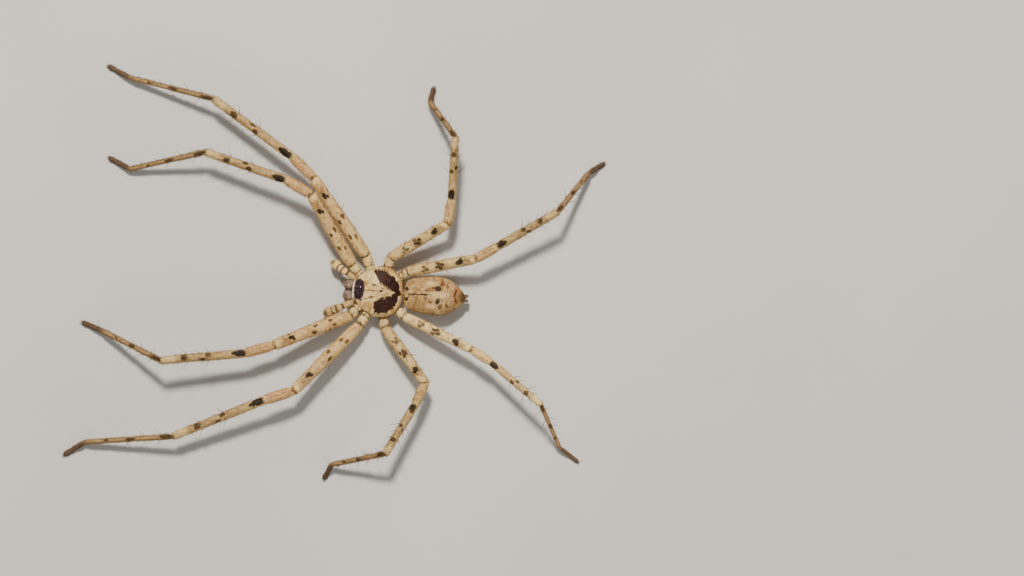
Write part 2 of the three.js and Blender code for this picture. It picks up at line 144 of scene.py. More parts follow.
# %% Shader maths
class Val:
    """A number that changes over the surface, as the socket of a shader node."""

    def __init__(self, paint, socket):
        self.paint, self.socket = paint, socket

    def operate(self, kind, *others):
        made = self.paint.node("Math", {"operation": kind}, dict(enumerate((self,) + others)))
        return Val(self.paint, made.outputs[0])

    def __rsub__(self, other):
        return self * -1 + other

    def step(self, low, high):
        """Rises smoothly from 0 at low to 1 at high, or falls where high is the lower one."""
        ends = (high, low, 1, 0) if low > high else (low, high, 0, 1)
        made = self.paint.node("MapRange", {"interpolation_type": "SMOOTHSTEP"},
                               dict(enumerate((self,) + ends)))
        return Val(self.paint, made.outputs[0])


OPERATIONS = {"__add__": "ADD", "__sub__": "SUBTRACT", "__mul__": "MULTIPLY", "__truediv__": "DIVIDE",
              "__pow__": "POWER", "__abs__": "ABSOLUTE", "min": "MINIMUM", "max": "MAXIMUM",
              "root": "SQRT", "wrap": "MODULO"}
for method, kind in OPERATIONS.items():
    setattr(Val, method, lambda self, *others, kind=kind: self.operate(kind, *others))


class Paint:
    """A material and the methods that add nodes to it."""

    def __init__(self, name, **constants):
        self.material = bpy.data.materials.new(name)
        self.material.use_nodes = True
        self.tree = self.material.node_tree
        self.surface = self.tree.nodes["Principled BSDF"]
        self.set(**constants)

    def node(self, kind, settings, values):
        made = self.tree.nodes.new("ShaderNode" + kind)
        for key, value in settings.items():
            setattr(made, key, value)
        for key, value in values.items():
            self.feed(made.inputs[key], value)
        return made

    def feed(self, target, value):
        value = value.socket if isinstance(value, Val) else value
        if isinstance(value, bpy.types.NodeSocket):
            self.tree.links.new(value, target)
        else:
            target.default_value = value

    def set(self, **sockets):
        for name, value in sockets.items():
            self.feed(self.surface.inputs[name.replace("_", " ")], value)
        return self.material

    def notes(self):
        """The three numbers that each point of a skin, and each hair on it, keeps."""
        kept = self.node("Attribute", {"attribute_name": "spot"}, {}).outputs["Vector"]
        return [Val(self, part) for part in self.node("SeparateXYZ", {}, {0: kept}).outputs]

    def tone(self):
        """The number that tells one hair from the next."""
        return Val(self, self.node("Attribute", {"attribute_name": "tone"}, {}).outputs["Fac"])

    def noise(self, scale, detail=2, where=None, roughness=0.5, stretch=None):
        """Cloudy numbers near 0.5, laid out in millimetres from the middle of the carapace."""
        if not where:
            place = self.node("TexCoord", {}, {}).outputs["Object"]
            where = self.node("Mapping", {}, {"Vector": place, "Scale": (1 / MM,) * 3,
                                              "Location": tuple(-BODY_PLACE)}).outputs[0]
        if stretch:
            where = self.node("Mapping", {}, {"Vector": where, "Scale": stretch}).outputs[0]
        return Val(self, self.node("TexNoise", {}, {"Vector": where, "Scale": scale, "Detail": detail,
                                                    "Roughness": roughness}).outputs[0])

    def mix(self, first, second, share):
        return self.node("Mix", {"data_type": "RGBA"}, {"Factor": share, 6: first, 7: second}).outputs[2]

    def layers(self, base, *over):
        """Lays colours over a base, one after the other, each with its share."""
        for tint, share in over:
            base = self.mix(base, tint, share)
        return base

    def bump(self, height, distance, strength):
        values = {"Height": height, "Distance": distance, "Strength": strength}
        return self.node("Bump", {}, values).outputs[0]


def colour(r, g, b, depth=1.35):
    """A colour as a picture editor gives it, 0 to 255, as Blender wants it. It is made purer by depth,
    because bright soft light washes colours out."""
    mean = (r + g + b) / 3
    rich = [min(max(mean + (v - mean) * depth, 0), 255) / 255 for v in (r, g, b)]
    return tuple(((v + 0.055) / 1.055) ** 2.4 if v > 0.04 else v / 12.92 for v in rich) + (1.0,)


def skin_paint(name, roughness, *shade):
    return Paint(name, Specular_IOR_Level=0.3, Roughness=roughness, Base_Color=colour(*shade))


print("mid grey is %.3f in the shader" % colour(128, 128, 128)[0])

# %% [markdown]
# The floor is a wide plain plane in a warm pale grey. One large soft lamp stands on the animal's right,
# at the top of the picture, because the photograph's shadows fall towards the bottom, and a weak one
# opposite keeps the shadows open.

# %% Floor and lights
floor_mesh = bmesh.new()
bmesh.ops.create_grid(floor_mesh, x_segments=1, y_segments=1, size=1.5)
floor_data = bpy.data.meshes.new("floor")
floor_mesh.to_mesh(floor_data)
floor_mesh.free()
floor_paint = Paint("pale_floor", Roughness=0.7)
floor_cloud = floor_paint.noise(0.012, 3).step(0.3, 0.7)
floor_data.materials.append(floor_paint.set(
    Base_Color=floor_paint.mix(colour(214, 210, 202), colour(206, 203, 197), floor_cloud)))
linked("floor", floor_data)


def lamp(name, place, size, power, tint):
    data = bpy.data.lights.new(name, "AREA")
    data.shape, data.size, data.energy, data.color = "DISK", size, power, tint
    made = linked(name, data)
    made.location = place
    made.rotation_euler = (-Vector(place)).to_track_quat("-Z", "Y").to_euler()


lamp("key", (-0.42, -0.1, 0.75), 0.12, 10.5, (1.0, 0.96, 0.9))
lamp("fill", (0.7, 0.35, 0.6), 0.6, 2.0, (0.92, 0.96, 1.0))
world = bpy.data.worlds.new("studio")
world.use_nodes = True
sky = world.node_tree.nodes["Background"].inputs
sky["Color"].default_value = (0.95, 0.97, 1.0, 1)
sky["Strength"].default_value = 0.26
scene.world = world
print("floor and lamps stand")

# %% [markdown]
# The pose. Each leg is a chain: root at the breastplate, then the joints at the ends of hip, femur,
# patella, tibia, metatarsus and tarsus. The lengths seen from above and the turns are the frame's own.

# %% The legs' joints
HIP_ROOT = {1: (1.7, -2.35, 2.5), 2: (2.15, -0.85, 2.5), 3: (2.15, 0.75, 2.5), 4: (1.5, 2.25, 2.5)}
HIP_HEIGHT, FOOT_HEIGHT = 3.0, 0.36
POSE = {
    "right_1": ((-4.34, -4.89), (14.2, 5.25, 14.7, 13.7, 4.25), (55.3, 25.7, 14.8, -16.1, 24),
                (6.6, 7.2, 5.9, 1.3)),
    "right_2": ((-6.09, -2.56), (16.5, 5.4, 16.95, 15.2, 4.4), (51.5, 40, 32.1, 10.4, 24.3),
                (5.4, 6.0, 5.2, 1.3)),
    "right_3": ((-6.06, 1.65), (11.6, 4.4, 10.7, 7.7, 2.7), (144.9, 94.8, 89, 51.8, 100.6),
                (6.3, 6.7, 8.4, 1.9)),
    "right_4": ((-3.84, 4.8), (12.1, 4.4, 11.9, 9.0, 3.4), (164.9, 146.1, 145.7, 125.6, 143.2),
                (6.6, 7.0, 8.3, 1.6)),
    "left_1": ((4.4, -4.41), (14.45, 5.25, 14.7, 11.7, 3.9), (25.6, 19.7, 9.1, -21.4, -18.2),
               (5.9, 6.6, 7.9, 1.3)),
    "left_2": ((5.94, -2.71), (16.3, 5.65, 17.0, 15.7, 4.35), (49.1, 22.3, 26, 8.5, 35.8),
               (6.2, 6.6, 5.0, 1.3)),
    "left_3": ((6.06, 1.51), (12.0, 4.3, 9.8, 9.6, 2.9), (130.4, 70.3, 62.5, 17.5, 65.1),
               (5.6, 6.1, 8.0, 1.9)),
    "left_4": ((3.9, 4.68), (13.15, 4.2, 11.2, 8.5, 4.2), (158.2, 151.3, 143.7, 119.4, 146.1),
               (5.9, 6.4, 8.6, 1.6)),
}
LEG_RADII = {1: (0.92, 1.13, 0.72, 0.72, 0.46, 0.42), 2: (0.94, 1.12, 0.73, 0.73, 0.47, 0.42),
             3: (0.86, 0.99, 0.66, 0.66, 0.43, 0.4), 4: (0.86, 0.99, 0.68, 0.68, 0.44, 0.4)}
PAD_SHARE = 0.3


def side_and_pair(leg):
    word, pair = leg.split("_")
    return SIDES[word], int(pair)


def leg_line(leg):
    """The corners of a leg's middle line, from the breastplate to the foot's tip."""
    side, pair = side_and_pair(leg)
    hip, reaches, turns, rises = POSE[leg]
    x, y, z = HIP_ROOT[pair]
    line = [Vector((side * x, y, z)), Vector((*hip, HIP_HEIGHT))]
    for reach, degrees, rise in zip(reaches, turns, rises + (FOOT_HEIGHT,)):
        last, angle = line[-1], math.radians(degrees)
        line.append(Vector((last.x + side * reach * math.sin(angle),
                            last.y - reach * math.cos(angle), rise)))
    ankle, tip = line[-2:]
    line.insert(-1, tip.lerp(Vector((ankle.x, ankle.y, tip.z)), PAD_SHARE))
    return line


def lengths_of(line):
    return [(b - a).length for a, b in zip(line, line[1:])]


for leg in POSE:
    print(leg, "leg pieces in mm:", [round(length, 1) for length in lengths_of(leg_line(leg))])

# %% [markdown]
# A leg's skin is one closed tube from the breastplate to the foot, so that no seam shows at the joints.
# It starts as a cylinder from bmesh.ops.create_cone, cut into many rings, and each ring is then moved to
# its place along the leg. Near a joint the rings lean into the plane that halves the bend, as the folds
# of an elbow do. Each point also keeps a note of how far along the leg it lies and on which side, and
# which way the hairs lie there, for the pattern and the coat.


# %% Tubes
def noted(made):
    """The notes of each point: its spot in the pattern, the way its hairs lie and its unwrapped place."""
    return [made.verts.layers.float_vector.new(word) for word in ("spot", "flow", "unwrap")]


def dressed(name, data, material, nodes=()):
    """Makes a mesh a smooth piece of the model, which stands for the given nodes."""
    data.shade_smooth()
    data.materials.append(material)
    made = linked(name, data)
    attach(made, "root")
    if nodes:
        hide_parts(*nodes)
    return made


def piece(name, made, nodes, material):
    """The same for a bmesh."""
    data = bpy.data.meshes.new(name)
    made.to_mesh(data)
    made.free()
    return dressed(name, data, material, nodes)


def bent_tube(line, radius_at, shares, sides, note_run, above=UP, front=1):
    """A closed tube along a bent line. shares lists, for each piece of the line, where its rings lie."""
    ways = [(b - a).normalized() for a, b in zip(line, line[1:])]
    halving = [None] + [(a + b).normalized() for a, b in zip(ways, ways[1:])] + [None]
    lengths = lengths_of(line)
    rings = [(i, share) for i, places in enumerate(shares) for share in places]
    made = bmesh.new()
    bmesh.ops.create_cone(made, cap_ends=True, segments=sides, radius1=1, radius2=1, depth=2)
    upright = [edge for edge in made.edges if abs(edge.verts[0].co.z - edge.verts[1].co.z) > 1]
    bmesh.ops.subdivide_edges(made, edges=upright, cuts=len(rings) - 2)
    spot, flow, unwrap = noted(made)
    for vert in made.verts:
        ring = round((vert.co.z + 1) / 2 * (len(rings) - 1))
        angle = math.atan2(vert.co.y, vert.co.x)
        i, share = rings[ring]
        way = ways[i]
        side = way.cross(above).normalized()
        top = side.cross(way)
        size = radius_at(i, share)
        spoke = side * (math.cos(angle) * size) + top * (math.sin(angle) * size)
        slide = 0
        for normal, away in ((halving[i], share * lengths[i]), (halving[i + 1], (1 - share) * lengths[i])):
            if normal:
                reach = min(3 * size, lengths[i] / 2)
                slide -= max(0, 1 - away / reach) * spoke.dot(normal) / way.dot(normal)
        vert[unwrap] = (0.5 + angle / math.tau, ring / (len(rings) - 1), 0)
        vert[spot] = (note_run(i, share), front * math.cos(angle), math.sin(angle))
        vert[flow] = way
        vert.co = (line[i] + way * (share * lengths[i] + slide) + spoke + BODY_PLACE) * MM
    bmesh.ops.recalc_face_normals(made, faces=made.faces)
    return made


def eased(count, first=True):
    """Shares from 0 to 1 that lie closer together near the two ends."""
    shares = [(1 - math.cos(math.pi * i / count)) / 2 for i in range(count + 1)]
    return shares if first else shares[1:]


print("ring shares on a short piece:", [round(share, 2) for share in eased(4)])

# %% [markdown]
# Every piece of a leg swells a little after its joint and narrows to the next one. The profiles below
# are the solids' own, less the depth of the coat, and drawn in at the joints, where the real leg has a
# fold of soft skin between its hard tubes.

# %% Leg skins
COAT_DEPTH = 0.05
LEG_SHAPES = [profile(rows) for rows in (
    [(0, 0.7), (0.12, 0.88), (0.45, 1.0), (0.56, 0.95), (0.6, 0.78), (0.64, 0.93), (0.92, 0.95), (1, 0.7)],
    [(0, 0.7), (0.035, 0.88), (0.2, 1), (0.5, 0.98), (0.8, 0.86), (0.96, 0.86), (0.985, 0.8), (1, 0.66)],
    [(0, 0.9), (0.08, 1.12), (0.3, 1.26), (0.7, 1.22), (0.93, 1.08), (1, 0.92)],
    [(0, 0.92), (0.05, 1.03), (0.2, 1.04), (0.6, 0.97), (0.95, 0.93), (0.98, 0.88), (1, 0.72)],
    [(0, 0.8), (0.03, 1.02), (0.08, 1.1), (0.25, 1), (0.6, 0.93), (0.95, 0.96), (1, 0.8)],
    [(0, 0.8), (0.1, 0.98), (0.5, 1), (0.78, 1.02), (0.9, 1.06), (0.97, 0.8), (1, 0.3)],
)]
RINGS_EACH = (12, 22, 12, 22, 20, 16)
RING_GAP = 0.02
LEG_SIDES = 24


def leg_radius(pair, part, share):
    return LEG_RADII[pair][part] * LEG_SHAPES[part](share) - COAT_DEPTH


def leg_skin(name, material):
    line, (side, pair) = leg_line(name), side_and_pair(name)
    # The tarsus is two pieces of the line, which count as one piece of the leg.
    lengths = lengths_of(line)
    bend = lengths[5] / (lengths[5] + lengths[6])
    shares = [eased(count, part == 0) for part, count in enumerate(RINGS_EACH[:5])]
    whole = eased(RINGS_EACH[5], False)
    shares.append([share / bend for share in whole if share < bend - RING_GAP] + [1])
    shares.append([(share - bend) / (1 - bend) for share in whole if share > bend + RING_GAP])

    def leg_place(i, share):
        if i < 5:
            return i, share
        return 5, share * bend if i == 5 else bend + share * (1 - bend)

    made = bent_tube(line, lambda i, share: leg_radius(pair, *leg_place(i, share)), shares, LEG_SIDES,
                     lambda i, share: 10 * pair + sum(leg_place(i, share)), front=side)
    for vert in made.verts:
        vert.co.z = max(vert.co.z, 0)
    nodes = ["leg_%s_%s" % (name, part) for part in ("hip", "femur", "shin", "metatarsus", "tarsus")]
    return piece("skin_leg_" + name, made, nodes, material)


leg_paint = skin_paint("leg_skin", 0.6, 205, 178, 138)
leg_skins = {name: leg_skin(name, leg_paint.material) for name in POSE}
print("triangles in one leg's skin:", len(leg_skins["left_1"].data.polygons) * 2)

# %% [markdown]
# The head and thorax are one hard shell, the carapace, with a breastplate below. The abdomen is a soft
# bag. Both start as spheres from bmesh.ops.create_uvsphere. Every point is moved out to curves that give
# the width, the top and the bottom at its place along the body, and grooves are pressed in after that.

# %% Rounded bodies
BODY_SIDES, BODY_RINGS = 96, 72


def rounded_body(body, width, top, bottom, blunt_width, blunt_height, tuck, press, flow_at):
    front, back, middle = body
    made = bmesh.new()
    bmesh.ops.create_uvsphere(made, u_segments=BODY_SIDES, v_segments=BODY_RINGS, radius=1)
    spot, flow, unwrap = noted(made)
    for vert in made.verts:
        along = min(max(vert.co.z, -1), 1)
        y = (front + back) / 2 + along * (back - front) / 2
        around = math.atan2(vert.co.y, vert.co.x)
        across, height = (0, 0) if abs(along) == 1 else (math.cos(around), math.sin(around))
        narrow = tuck(-height, width(y)) if height < 0 else 1
        reach = middle - bottom(y) if height < 0 else top(y) - middle
        place = Vector((across * width(y) * narrow * closing(along, blunt_width), y,
                        middle + height * reach * closing(along, blunt_height)))
        vert[unwrap] = (0.5 + around / math.tau, 0.5 + along / 2, 0)
        vert[flow] = flow_at(place)
        place = press(place, height)
        vert[spot] = place
        vert.co = (place + BODY_PLACE) * MM
    bmesh.ops.recalc_face_normals(made, faces=made.faces)
    return made


def hollow(place, start, end, wide):
    """1 on a stretch of line, seen from above, and falling to 0 beside it."""
    p, a, b = (Vector((q[0], q[1])) for q in (place, start, end))
    along = min(max((p - a).dot(b - a) / (b - a).length_squared, 0), 1)
    return math.exp(-((p - a.lerp(b, along)).length / wide) ** 2)


carapace_width = profile([(-4.55, 2.15), (-3.6, 2.6), (-2.2, 3.6), (-0.6, 4.35), (1.2, 4.65), (2.8, 4.5),
                          (4.25, 3.9)])
carapace_top = profile([(-4.55, 4.75), (-3.2, 5.1), (-1.2, 5.45), (1, 5.6), (2.6, 5.2), (4.25, 4.5)])
carapace_bottom = profile([(-4.55, 3.0), (-3.4, 2.2), (-2.4, 1.8), (2.4, 1.8), (4.25, 2.5)])
CARAPACE = (-4.55, 4.25, 3.7)
CARAPACE_BLUNT = (5, 2.6), (2.4, 2.6)
GROOVES = ((0.1, (1.75, -2.2), (0.2, 0.7), 0.22), (0.07, (0.6, 0.9), (3.3, -0.4), 0.24),
           (0.07, (0.6, 1.2), (3.7, 1.5), 0.24), (0.07, (0.4, 1.5), (2.6, 3.1), 0.24))
RIM, RIM_HEIGHT = 0.012, 0.1


def press_carapace(place, height):
    """Presses the middle groove, the two grooves beside the head and those that run to the legs."""
    if height > 0:
        deep = 0.17 * hollow(place, (0, 0.5), (0, 1.5), 0.16)
        for side in (-1, 1):
            for depth, start, end, wide in GROOVES:
                deep += depth * hollow(place, (side * start[0], start[1]), (side * end[0], end[1]), wide)
        place = place - UP * deep
    rim = math.exp(-(height / RIM_HEIGHT) ** 2)
    return Vector((place.x * (1 - RIM + RIM * rim), place.y, place.z))


def lie_on_carapace(place):
    return Vector((place.x, (place.y - 0.8) * 0.8 - 0.6, -0.25)).normalized()


carapace_paint = skin_paint("carapace_skin", 0.5, 206, 182, 140)
carapace_mesh = rounded_body(CARAPACE, carapace_width, carapace_top, carapace_bottom, *CARAPACE_BLUNT,
                             lambda depth, wide: 1 + (2.3 / wide - 1) * min(max(depth * 2.5, 0), 1),
                             press_carapace, lie_on_carapace)
carapace_skin = piece("skin_carapace", carapace_mesh, ["prosoma"], carapace_paint.material)
abdomen_width = profile([(4.55, 3), (5.6, 2.95), (7.4, 3.18), (10.3, 3.46), (12.6, 3.28), (14, 2.8),
                         (15.1, 2.9)])
abdomen_top = profile([(4.55, 5.2), (7, 5.6), (10, 5.75), (12.8, 5.1), (15.1, 4.0)])
abdomen_bottom = profile([(4.55, 2.0), (7, 1.6), (10.5, 1.45), (13.5, 1.75), (15.1, 2.1)])
ABDOMEN = (4.55, 15.1, 3.5)
DIMPLES = ((1.14, 10.43, 0.3), (0.9, 4.9, 0.22), (0.8, 8.24, 0.18), (1.66, 12.0, 0.2))


def press_abdomen(place, height):
    """Presses the dimples and the long shallow groove, and makes room for the fur."""
    deep = COAT_DEPTH
    if height > 0:
        for x, y, wide in DIMPLES:
            for side in (-1, 1):
                deep += 0.04 * math.exp(-((place.x - side * x) ** 2 + (place.y - y) ** 2) / wide ** 2)
        deep += 0.05 * hollow(place, (0, 5.4), (-0.15, 8.6), 0.14)
    out = place - Vector((0, place.y, ABDOMEN[2]))
    return place - out.normalized() * deep if out.length > deep else place


abdomen_paint = skin_paint("abdomen_skin", 0.75, 190, 163, 130)
abdomen_mesh = rounded_body(ABDOMEN, abdomen_width, abdomen_top, abdomen_bottom, (5, 2.2), (2.8, 2.2),
                            lambda depth, wide: 1, press_abdomen, lambda place: Vector((0, 1, -0.1)))
abdomen_skin = piece("skin_abdomen", abdomen_mesh, ["abdomen"], abdomen_paint.material)
print("faces in the abdomen's skin:", len(abdomen_skin.data.polygons))

# %% [markdown]
# The eight eyes stand in two rows on the front of the carapace. An eye is a clear lens over a dark inside,
# and a whole sphere sunk into the skin looks just like it. Each sits at its solid's place, which is found
# from the height of the carapace there.

# %% Eyes
EYES = {"eye_front_middle": (0.37, -4.15, 0.21), "eye_front_side": (1.1, -4.0, 0.3),
        "eye_back_middle": (0.52, -3.2, 0.22), "eye_back_side": (1.52, -2.98, 0.27)}


def carapace_height(x, y):
    front, back, middle = CARAPACE
    along = (y - (front + back) / 2) / ((back - front) / 2)
    across = x / (carapace_width(y) * closing(along, CARAPACE_BLUNT[0]))
    rise = (carapace_top(y) - middle) * closing(along, CARAPACE_BLUNT[1])
    return middle + rise * math.sqrt(max(1 - across ** 2, 0))


def ball(made, centre, radius, detail=20):
    """Adds a ball to a bmesh, in millimetres of the body's own frame."""
    for vert in bmesh.ops.create_uvsphere(made, u_segments=detail, v_segments=detail * 2 // 3,
                                          radius=1)["verts"]:
        vert.co = (Vector(centre) + vert.co * radius + BODY_PLACE) * MM


eye_paint = Paint("eye_lens", Roughness=0.04, Base_Color=colour(14, 9, 12), Coat_Weight=1.0)
for word, side in SIDES.items():
    for name, (x, y, radius) in EYES.items():
        made = bmesh.new()
        ball(made, (side * x, y, carapace_height(x, y) - radius * 0.2), radius)
        piece("lens_%s_%s" % (name[4:], word), made, ["%s_%s" % (name, word)], eye_paint.material)
print("eight eyes set")

# %% [markdown]
# In front of the face hang the two chelicerae, stout jaws that each carry a fang folded inwards below.
# Both are bent tubes like the legs. The palps beside them are short legs that feel. In a male each ends
# in a swollen last piece.

# %% Jaws, fangs and palps
def sided(points, side):
    return [Vector((side * x, y, z)) for x, y, z in points]


def note_part(base):
    """Notes how far along a limb a ring lies, as base plus a share of the whole limb."""
    return lambda i, share: base + i + share


CHELICERA_SHAPE = profile([(0, 0.8), (0.12, 0.98), (0.45, 1.08), (0.8, 0.98), (0.94, 0.84), (1, 0.5)])
chelicera_paint = skin_paint("chelicera_skin", 0.45, 140, 112, 98)
fang_paint = Paint("fang_horn", Roughness=0.15, Base_Color=colour(30, 14, 9), Coat_Weight=0.5)
chelicera_skins, palp_skins = {}, {}
for word, side in SIDES.items():
    line = sided([(0.99, -4.95, 3.6), (1.0, -5.35, 2.4), (0.98, -5.3, 1.3)], side)
    spans = lengths_of(line)

    def chelicera_radius(i, share):
        return 0.78 * CHELICERA_SHAPE((sum(spans[:i]) + share * spans[i]) / sum(spans)) - 0.03

    made = bent_tube(line, chelicera_radius, [eased(14), eased(12, False)], 28, note_part(10), AHEAD)
    chelicera_skins[word] = piece("skin_chelicera_" + word, made, ["chelicera_" + word],
                                  chelicera_paint.material)
    line = sided([(0.98, -5.3, 1.05), (0.93, -5.4, 0.85), (0.8, -5.45, 0.7), (0.62, -5.44, 0.6),
                  (0.42, -5.38, 0.54), (0.22, -5.27, 0.5)], side)
    made = bent_tube(line, lambda i, share: 0.27 * (1 - (i + share) / 5.2) ** 0.8,
                     [eased(3)] + [eased(3, False)] * 4, 16, note_part(20), AHEAD)
    piece("horn_fang_" + word, made, ["fang_" + word], fang_paint.material)

PALP_LINE = {"right": [(-1.95, -4.3, 2.6), (-2.95, -5.8, 3.9), (-3.75, -7.1, 3.4), (-4.75, -8.6, 1.5)],
             "left": [(1.95, -4.3, 2.6), (3.05, -6.15, 3.9), (3.75, -7.6, 3.4), (4.6, -9.15, 1.5)]}
PALP_SHAPES = [profile(rows) for rows in (
    [(0, 0.64), (0.14, 0.74), (0.5, 0.78), (0.86, 0.76), (1, 0.68)],
    [(0, 0.72), (0.2, 0.98), (0.8, 1), (1, 0.8)],
    [(0, 0.55), (0.1, 0.8), (0.35, 1.05), (0.6, 1), (0.85, 0.66), (1, 0.24)],
)]
PALP_RADII = (0.7, 0.7, 0.88)
palp_paint = skin_paint("palp_skin", 0.6, 205, 178, 138)
for word in SIDES:
    made = bent_tube([Vector(corner) for corner in PALP_LINE[word]],
                     lambda i, share: PALP_RADII[i] * PALP_SHAPES[i](share) - COAT_DEPTH,
                     [eased(12), eased(10, False), eased(14, False)], 24, note_part(0))
    palp_skins[word] = piece("skin_palp_" + word, made, ["palp_" + word, "palp_tip_" + word],
                             palp_paint.material)
print("jaws, fangs and palps hang from the face")

# %% [markdown]
# Under the mouth lie two long plates with a short one between them, and a thin stalk joins thorax and
# abdomen. At the back end sit the spinnerets, a low mound with two pairs of short cones that the silk
# comes from.

# %% Mouth plates and spinnerets
def short_limb(start, end, radius, shape, sides, note):
    curve = profile(shape)
    return bent_tube([Vector(start), Vector(end)], lambda i, share: radius * curve(share),
                     [eased(12)], sides, note_part(note))


def merged(parts):
    """One bmesh from several, by way of a mesh for each."""
    whole = bmesh.new()
    for part in parts:
        data = bpy.data.meshes.new("part")
        part.to_mesh(data)
        part.free()
        whole.from_mesh(data)
        bpy.data.meshes.remove(data)
    return whole


PLATE = [(0, 0.6), (0.25, 1), (0.75, 0.95), (1, 0.6)]
plates = [short_limb((side * 0.85, -2.6, 2.25), (side * 0.72, -4.35, 2.1), 0.53, PLATE, 18, 30)
          for side in (1, -1)]
plates.append(short_limb((0, -2.3, 2.2), (0, -3.3, 2.1), 0.4, PLATE, 18, 31))
STALK = [(0, 1.1), (0.35, 0.85), (0.65, 0.85), (1, 1.1)]
piece("skin_pedicel", short_limb((0, 3.2, 3.1), (0, 5.4, 3.1), 0.5, STALK, 28, 32), ["pedicel"],
      carapace_paint.material)
piece("mouth_plates", merged(plates), [], carapace_paint.material)
CONE = [(0, 1), (0.6, 0.92), (0.9, 0.7), (1, 0.3)]
mound = bmesh.new()
ball(mound, (0, 14.7, 2.9), 0.67, 24)
cones = [short_limb((side * x, 14.9, z), (side * (x + 0.1), 15 + length, z), 0.28, CONE, 16, 40)
         for x, z, length in ((0.32, 2.62, 0.8), (0.3, 3.1, 0.7)) for side in (1, -1)]
spinneret_paint = Paint("spinneret_skin", Roughness=0.6, Base_Color=colour(104, 82, 58))
spinneret_skin = piece("skin_spinnerets", merged([mound] + cones), ["spinnerets"],
                       spinneret_paint.material)
print("mouth plates and spinnerets made")

# %% [markdown]
# Claws and spines are hard and dark. Each is a thin bent tube that tapers to a point, and there are
# hundreds, so they are built straight from arrays of points and joined into one piece for each leg. The
# thick spines stand where the solids have theirs, and finer ones are added between them.

# %% Claws and spines
def spikes(name, roots, ways, lengths, radii, bends, material, sides=6, rings=5, sink=0.05):
    """Tapered spikes as one mesh: arrays of roots, directions, lengths, radii and sideways bends."""
    roots, ways, bends = (np.array(a, dtype=float).reshape(-1, 3) for a in (roots, ways, bends))
    lengths, radii = np.array(lengths, dtype=float), np.array(radii, dtype=float)
    ways /= np.linalg.norm(ways, axis=1, keepdims=True)
    helper = np.where(np.abs(ways[:, 2:]) < 0.9, [[0, 0, 1.0]], [[0, 1.0, 0]])
    across = np.cross(ways, helper)
    across /= np.linalg.norm(across, axis=1, keepdims=True)
    other = np.cross(across, ways)
    points = np.empty((len(roots), rings * sides + 1, 3))
    for ring in range(rings):
        share = ring / rings
        centre = (roots + ways * (lengths * share - sink * (ring == 0))[:, None]
                  + bends * (lengths * share ** 2)[:, None])
        thick = radii * (1 - share) ** 0.7
        for k in range(sides):
            angle = math.tau * k / sides
            points[:, ring * sides + k] = centre + (across * math.cos(angle)
                                                    + other * math.sin(angle)) * thick[:, None]
    points[:, -1] = roots + ways * lengths[:, None] + bends * lengths[:, None]
    faces = [tuple(range(sides - 1, -1, -1))]
    for ring in range(rings - 1):
        for k in range(sides):
            a, b = ring * sides + k, ring * sides + (k + 1) % sides
            faces.append((a, b, b + sides, a + sides))
    last = (rings - 1) * sides
    faces += [(last + k, last + (k + 1) % sides, rings * sides) for k in range(sides)]
    corners = points.reshape(-1, 3) + np.array(BODY_PLACE)
    corners[:, 2] = np.maximum(corners[:, 2], FLOOR_GAP)
    each = rings * sides + 1
    data = bpy.data.meshes.new(name)
    data.from_pydata((corners * MM).tolist(), [],
                     [tuple(v + each * i for v in face) for i in range(len(roots)) for face in faces])
    dressed(name, data, material)


FLOOR_GAP = 0.002  # nothing reaches below this
SPINES = {  # share along the piece, degrees round it from the top to the front, length
    1: [(0.3, 50, 1.5), (0.3, -50, 1.5), (0.55, 0, 1.7), (0.55, 62, 1.7), (0.78, -45, 1.6), (0.8, 45, 1.6),
        (0.42, -75, 1.2), (0.67, 80, 1.2)],
    3: [(0.12, 5, 1.3), (0.42, 75, 2.1), (0.42, -75, 2.1), (0.46, 140, 2.2), (0.5, -140, 2.2),
        (0.68, 72, 2.0), (0.68, -72, 2.0), (0.74, 145, 2.1), (0.78, -145, 2.1), (0.26, 150, 1.5),
        (0.28, -150, 1.5), (0.92, 140, 1.4), (0.92, -140, 1.4), (0.55, 0, 1.1)],
    4: [(0.14, 130, 2.1), (0.14, -130, 2.1), (0.3, 70, 1.8), (0.32, -70, 1.8), (0.5, 100, 1.6),
        (0.5, -100, 1.4), (0.62, 60, 1.1)],
}
draw = random.Random(SEED)
spine_paint = Paint("spine_horn", Roughness=0.35, Base_Color=colour(96, 66, 42))


def near_other_leg(leg, base, tip):
    for other in POSE:
        line, radii = leg_line(other), LEG_RADII[side_and_pair(other)[1]]
        for i in range(1, 6 if other != leg else 1):
            a, b = line[i], line[i + 1]
            for share in (0.3, 0.65, 1):
                spot = base.lerp(tip, share)
                t = min(max((spot - a).dot(b - a) / (b - a).length_squared, 0), 1)
                if (a.lerp(b, t) - spot).length < radii[i] + 0.1:
                    return True
    return False


for leg in POSE:
    line, (side, pair) = leg_line(leg), side_and_pair(leg)
    roots, ways, lengths, thick, bends = [], [], [], [], []
    for part, rows in SPINES.items():
        way = (line[part + 1] - line[part]).normalized()
        front = way.cross(UP).normalized() * side
        top = way.cross(front).normalized() * -side
        for share, degrees, length in rows:
            angle = math.radians(degrees + draw.uniform(-4, 4))
            out = top * math.cos(angle) - front * math.sin(angle)
            base = line[part].lerp(line[part + 1], share) + out * leg_radius(pair, part, share)
            lean = (out * 0.8 + way * 0.6).normalized()
            length *= draw.uniform(0.92, 1.02)
            tip = base + lean * length
            if tip.z < 0.25 or near_other_leg(leg, base, tip):
                continue
            roots.append(base)
            ways.append(lean)
            lengths.append(length)
            thick.append(0.06 if length > 1.45 else 0.045)
            bends.append(way * 0.08)
    spikes("spines_" + leg, roots, ways, lengths, thick, bends, spine_paint.material)
roots, ways, bends = [], [], []
